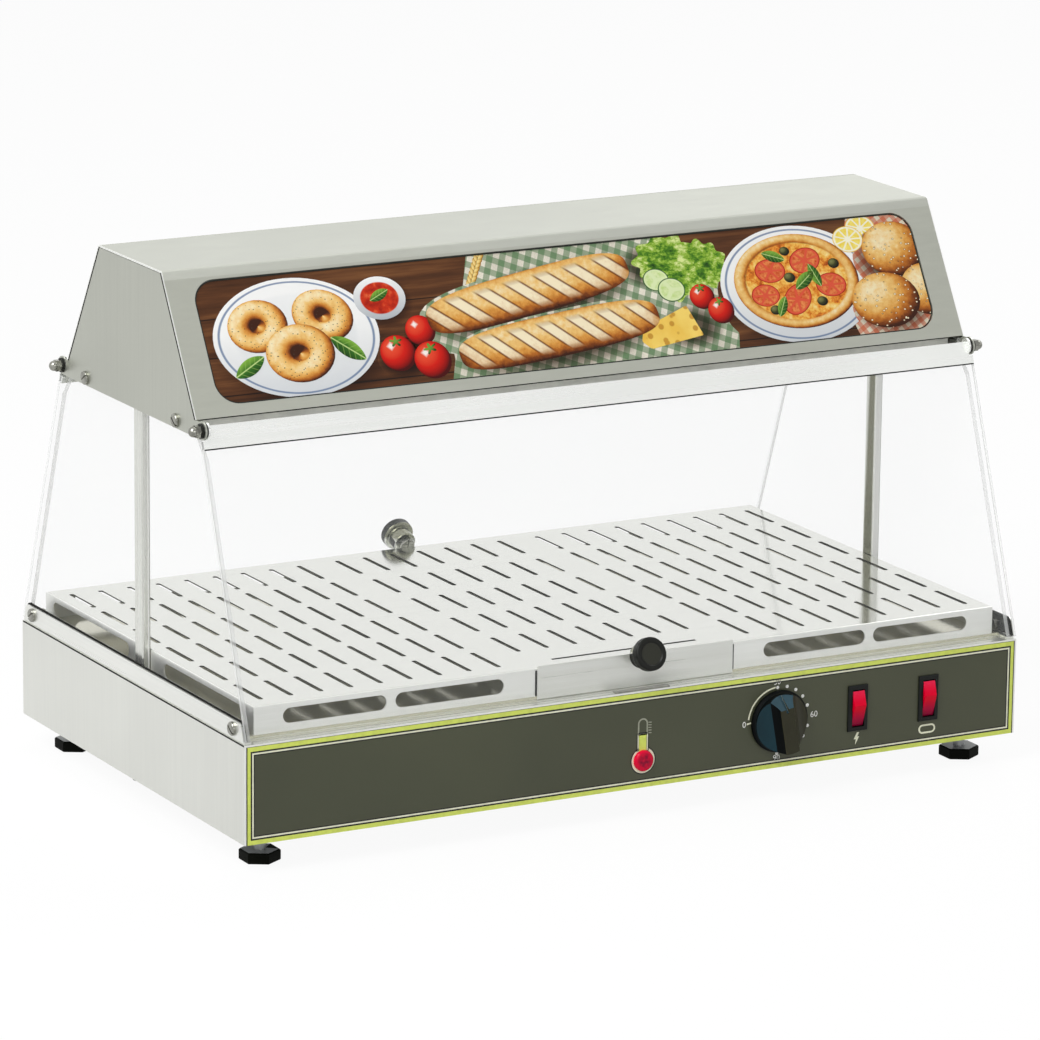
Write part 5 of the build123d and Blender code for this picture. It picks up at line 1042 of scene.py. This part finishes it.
def cloth(stripe, ground, pitch, slant):
    """Woven cloth with stripes that cross."""
    def cloth_colour(tree):
        weave = noise(picture_place(tree, (1500, 1500, 1)), 1.0, 1.0)
        folds = noise(picture_place(tree, (26, 14, 1)), 1.0, 2.0)
        base = mixed(spread(folds, 0.38, 0.0, 0.35, 0.6), ground, paint(150, 142, 128))
        for turn in (slant, slant + pi / 2):
            turned = added(tree, "Mapping", {"Vector": picture_place(tree), "Rotation": (0, 0, turn)}, "Vector")
            lane = calc("FRACT", split(turned)["X"] * (1 / (pitch * MM)))
            base = mixed(spread(abs(lane - 0.5), 0.62, 0.0, 0.24, 0.26), base, stripe)
        return mixed(spread(weave, 0.0, 0.16, 0.35, 0.65), base, paint(90, 84, 70))
    return cloth_colour


def shaded(colour_of):
    """The same ground, darkened towards the middle of a soft shadow."""
    def shaded_colour(tree):
        shadow = ramp(motif_axes(tree)[2], [(0.55, (0.16, 0.13, 0.11, 1)), (0.8, (0.5, 0.46, 0.44, 1)), (1.0, WHITE)])
        return mixed(1.0, colour_of(tree), shadow, "MULTIPLY")
    return shaded_colour


def small_round(stops, speckle=0.0):
    """A small rounded thing in a few colours from shade to light."""
    def round_colour(tree):
        light = rounded_light(*motif_axes(tree))
        return ramp(speckled(light, picture_place(tree), 300.0, speckle) if speckle else light, stops)
    return round_colour


linen_colour = cloth(paint(70, 124, 70), paint(244, 238, 220), 9.0, 0.42)
napkin_colour = cloth(paint(206, 84, 30), paint(250, 240, 214), 7.0, -0.5)
PRINTS = {
    "wood": wood_colour, "linen": linen_colour, "napkin": napkin_colour,
    "wood_shadow": shaded(wood_colour), "linen_shadow": shaded(linen_colour), "napkin_shadow": shaded(napkin_colour),
    "plate": plate_colour, "roll": roll_colour, "ring": ring_colour, "loaf": loaf_colour, "tart": tart_colour,
    "tomato": tomato_colour,
    "stem": small_round([(0.2, paint(24, 60, 20)), (0.8, paint(110, 160, 60))], 0.3),
    "tomato_slice": sliced(paint(168, 18, 12), paint(226, 88, 62), paint(206, 62, 30), paint(240, 150, 84), 6, 0.92),
    "lemon_slice": sliced(paint(240, 196, 40), paint(254, 250, 226), paint(246, 214, 70), paint(253, 236, 130), 9,
                          0.93),
    "cucumber_slice": sliced(paint(46, 98, 40), paint(226, 240, 186), paint(198, 224, 140), paint(228, 240, 184), 3,
                             0.9),
    "leaf": leaf_colour, "salad": salad_colour, "cheese": cheese_colour,
    "olive": small_round([(0.2, paint(22, 22, 14)), (0.6, paint(58, 62, 30)), (0.85, paint(120, 124, 72)),
                          (0.97, paint(240, 240, 220))]),
    "sauce": sauce_colour,
    "grain": small_round([(0.1, paint(150, 100, 30)), (0.5, paint(222, 176, 84)), (0.95, paint(252, 232, 160))]),
}

# How a motif's round outline is made, where it isn't a plain ellipse
OUTLINES = {
    "plate": {"sides": 64}, "tart": {"sides": 64}, "sauce": {"sides": 48}, "leaf": {"leaf": True},
    "stem": {"waves": 5, "depth": 0.35, "sides": 40}, "loaf": {"square": 0.62, "sides": 64},
}
LONG_SHADOW = {"square": 0.6}
# Motifs: print, across, up, half width, half height, turn, layer, and an outline of its own
MOTIFS = [
    ("wood_shadow", -206, -8, 68, 46, 0, 1),
    ("plate", -208, -2, 60, 41, 0, 3),
    ("ring", -234, 8, 22, 18, 10, 6),
    ("ring", -186, 11, 22, 18, -14, 6),
    ("ring", -208, -13, 25, 20, 4, 8),
    ("leaf", -246, -19, 13, 5.5, 28, 9),
    ("leaf", -173, -13, 14, 6, -38, 9),
    ("wood_shadow", -142, 16, 24, 19, 0, 2),
    ("sauce", -142, 19, 19, 15, 0, 5),
    ("leaf", -142, 21, 8, 3.6, 24, 7),
    ("wood_shadow", -134, -24, 20, 15, 0, 2),
    ("wood_shadow", -116, -12, 16, 13, 0, 2),
    ("tomato", -138, -20, 13, 12.5, 0, 6),
    ("tomato", -118, -6, 11, 10.5, 0, 5),
    ("tomato", -114, -27, 13.5, 13, 0, 7),
    ("stem", -138, -12, 5, 4, 0, 8),
    ("stem", -114, -19, 5.5, 4, 20, 8),
    ("linen_shadow", -30, 6, 88, 24, 9, 3, LONG_SHADOW),
    ("linen_shadow", -14, -24, 84, 22, 6, 4, LONG_SHADOW),
    ("loaf", -32, 12, 80, 15.5, 9, 7),
    ("loaf", -16, -19, 78, 15, 6, 9),
    ("linen_shadow", 64, 22, 24, 17, 0, 4),
    ("salad", 76, 27, 26, 17, 10, 5, {"waves": 9, "depth": 0.1, "sides": 72}),
    ("salad", 104, 20, 22, 18, -20, 6, {"waves": 11, "depth": 0.09, "sides": 72}),
    ("salad", 84, 8, 18, 12, 30, 7, {"waves": 8, "depth": 0.12, "sides": 64}),
    ("cucumber_slice", 66, 12, 10, 8, 0, 8),
    ("cucumber_slice", 76, 4, 10.5, 8.5, 0, 9),
    ("linen_shadow", 84, -24, 26, 16, 0, 5),
    ("tomato", 98, -3, 9.5, 9, 0, 10),
    ("tomato", 110, -14, 10, 9.5, 0, 11),
    ("stem", 98, 3, 4, 3, 0, 12),
    ("stem", 110, -7.5, 4, 3, 30, 12),
    ("wood_shadow", 176, -8, 66, 46, 0, 2),
    ("plate", 174, -1, 60, 42, 0, 8),
    ("tart", 174, 1, 49, 34, 0, 10),
    ("tomato_slice", 155, 10, 12, 8.6, 0, 12),
    ("tomato_slice", 184, 15, 12.5, 9, 14, 12),
    ("tomato_slice", 200, -4, 12, 8.6, 0, 12),
    ("tomato_slice", 171, -12, 13, 9.4, 40, 12),
    ("tomato_slice", 147, -7, 11, 8, 0, 12),
    ("olive", 169, 4, 4.4, 3.6, 0, 14),
    ("olive", 190, -15, 4.2, 3.4, 0, 14),
    ("olive", 206, 11, 4.4, 3.6, 0, 14),
    ("olive", 152, -18, 4.2, 3.4, 0, 14),
    ("olive", 170, 23, 4, 3.2, 0, 14),
    ("leaf", 180, 1, 10, 4.4, 35, 15),
    ("leaf", 189, 4, 9, 4, 110, 15),
    ("leaf", 160, 20, 9, 4, -20, 15),
    ("leaf", 158, -16, 8, 3.6, 60, 15),
    ("napkin_shadow", 252, 10, 30, 24, 0, 9),
    ("napkin_shadow", 244, -24, 32, 22, 0, 9),
    ("roll", 256, 17, 25, 20, 0, 11),
    ("roll", 240, -19, 27, 20, 0, 13),
    ("roll", 276, -14, 22, 19, 0, 12),
    ("lemon_slice", 222, 27, 12, 9.5, 0, 10),
    ("lemon_slice", 234, 34, 12, 9.5, 0, 9),
]
CLOTHS = {
    "linen": ([(-104, -46), (-70, 46), (62, 46), (128, 8), (116, -46)], 1),
    "napkin": ([(214, -46), (204, -8), (226, 46), (280, 46), (280, -46)], 7),
}
CHEESE = [([(50, -36), (92, -30), (84, -8), (56, -18)], 7), ([(50, -36), (56, -18), (50, -14), (44, -30)], 6)]
EAR_X, EAR_Z, EAR_ROWS, EAR_PITCH = -78, 14, 11, 3.4


def hood_picture():
    """Lays the ground, the cloths and the motifs of the picture, each a little above the last."""
    shapes = {name: [] for name in PRINTS}
    shapes["wood"].append(board(PICTURE_HALF, PICTURE_RISE, corner=PICTURE_CORNER, steps=10))
    for name, (corners, layer) in CLOTHS.items():
        shapes[name].append(clipped(patch(corners, thick=INK + layer * PRINT_STEP)))
    for corners, layer in CHEESE:
        shapes["cheese"].append(patch(corners, thick=INK + layer * PRINT_STEP, rounding=1.2))
    for row in range(EAR_ROWS):
        along = row * EAR_PITCH
        for side in SIDES:
            place = spot(EAR_X + along * 0.5 + side * 1.9, EAR_Z + along * 0.86, 3.0, 1.5, 60 - side * 26)
            shapes["grain"].append(disc(place, INK + (2.2 + 0.1 * row) * PRINT_STEP, 12, leaf=True))
    for name, across, up, half_width, half_height, turn, layer, *own in MOTIFS:
        outline = own[0] if own else OUTLINES.get(name, {})
        shape = disc(spot(across, up, half_width, half_height, turn), thick=INK + layer * PRINT_STEP, **outline)
        shapes[name].append(clipped(shape))
    # A dark ink line along the picture's edge is painted shade for the edge of the window it sits in.
    rim = board(PICTURE_HALF, PICTURE_RISE, corner=PICTURE_CORNER, line=0.9, steps=10, thick=INK + 18 * PRINT_STEP)
    printed("picture_edge_shade", [rim], ON_PICTURE, "picture", INKS["dark"])
    for print_name, parts in shapes.items():
        piece_name = "picture_" + print_name
        printed(piece_name, parts, ON_PICTURE, "picture", film_finish(piece_name, PRINTS[print_name]))


hood_picture()


# Stage, light and camera

AMBIENT = 0.3
FRONT_DARK = 0.6
FLOOR_GLOW = 0.93
FLOOR_DROP = 0.2 * MM
FOCAL_PIXELS, PHOTO_PIXELS, SENSOR = 5941.6, 1040, 36.0
CAMERA_PLACE = (-1.9035, -3.4666, 1.1552)
CAMERA_YAW, CAMERA_PITCH, CAMERA_ROLL = radians(-28.778), radians(14.054), radians(0.613)


def rays_of(tree):
    """Marks what is seen straight or through a pane, and what is seen in a mirror."""
    rays = tree.nodes.new("ShaderNodeLightPath")
    camera, pane, mirror = (Signal(tree, rays.outputs["Is %s Ray" % kind])
                            for kind in ("Camera", "Transmission", "Glossy"))
    return calc("MAXIMUM", camera, pane), mirror


def blend(tree, share, first, second, output):
    """Mixes two shaders into an output by a share."""
    feed(tree.nodes[output], {"Surface": added(tree, "MixShader", {"Fac": share, 1: first, 2: second}, "Shader")})


def pale_floor():
    """White floor that keeps the case's soft shadow and shows pale in mirrors."""
    material, tree, shader = new_finish("pale_floor", (0.6, 0.6, 0.6, 1), 0.8)
    tone = ramp(noise(place_coords(tree), 3.0, 2.0), [(0.3, faded(WHITE, 0.59)), (0.7, faded(WHITE, 0.61))])
    direct, mirror = rays_of(tree)
    feed(shader, {"Base Color": mixed(direct, tone, faded(WHITE, 0.97)), "Specular IOR Level": 0.1})
    mirrored = mirror * spread(split(place_coords(tree))["Y"], 0.3, 0.9, -0.5, 0.4)
    blend(tree, calc("MAXIMUM", direct * FLOOR_GLOW, mirrored), Signal(tree, shader.outputs["BSDF"]),
          added(tree, "Emission", {}, "Emission"), "Material Output")
    bm = bmesh.new()
    bmesh.ops.create_grid(bm, x_segments=1, y_segments=1, size=14.0)
    mesh = bpy.data.meshes.new("floor")
    bm.to_mesh(mesh)
    bm.free()
    mesh.materials.append(material)
    floor = bpy.data.objects.new("floor", mesh)
    floor.location.z = -FLOOR_DROP
    bpy.context.scene.collection.objects.link(floor)


def studio_world():
    """White surroundings, softer as light than as what is seen, and dimmer high up in front for mirrors."""
    world = bpy.data.worlds.new("studio")
    bpy.context.scene.world = world
    world.use_nodes = True
    tree = world.node_tree
    ambient = tree.nodes["Background"]
    feed(ambient, {"Color": (0.98, 0.99, 1.0, 1), "Strength": AMBIENT})
    direct, mirror = rays_of(tree)
    way = split(added(tree, "TexCoord", {}, "Generated"))
    in_front = (spread(way["Y"], 1.0, 0.0, -0.7, -0.3) * spread(way["Z"], 0.0, 1.0, 0.34, 0.5)
                * (1.0 - direct))
    white = added(tree, "Background", {"Color": WHITE, "Strength": 1.0 - in_front * FRONT_DARK}, "Background")
    blend(tree, calc("MAXIMUM", direct, mirror), Signal(tree, ambient.outputs["Background"]), white, "World Output")


def soft_lamp(name, place, target, size, power):
    """A large soft lamp that looks at a point."""
    lamp = bpy.data.lights.new(name, "AREA")
    lamp.shape = "SQUARE"
    lamp.size = size
    lamp.energy = power
    holder = bpy.data.objects.new(name, lamp)
    holder.location = place
    holder.rotation_euler = (Vector(target) - Vector(place)).to_track_quat("-Z", "Y").to_euler()
    bpy.context.scene.collection.objects.link(holder)


def studio_camera():
    """The camera of the photograph, found from the case's own edges."""
    yaw, pitch, roll = CAMERA_YAW, CAMERA_PITCH, CAMERA_ROLL
    forward = Vector((-sin(yaw) * cos(pitch), cos(yaw) * cos(pitch), -sin(pitch)))
    right = Vector((cos(yaw), sin(yaw), 0))
    up = right.cross(forward)
    turn = Matrix((cos(roll) * right + sin(roll) * up, cos(roll) * up - sin(roll) * right, -forward)).transposed()
    data = bpy.data.cameras.new("camera")
    data.sensor_width = SENSOR
    data.lens = SENSOR * FOCAL_PIXELS / PHOTO_PIXELS
    camera = bpy.data.objects.new("camera", data)
    camera.matrix_world = Matrix.Translation(CAMERA_PLACE) @ turn.to_4x4()
    bpy.context.scene.collection.objects.link(camera)
    bpy.context.scene.camera = camera


pale_floor()
studio_world()
soft_lamp("key_lamp", (-2.2, -0.7, 2.6), (0, 0, 0.2), 2.0, 90)
soft_lamp("fill_lamp", (-0.4, -3.0, 1.4), (0, 0, 0.2), 1.6, 10)
soft_lamp("back_lamp", (2.2, 1.2, 3.0), (0, 0, 0.25), 1.8, 36)
studio_camera()
bpy.context.scene.view_settings.view_transform = "Standard"
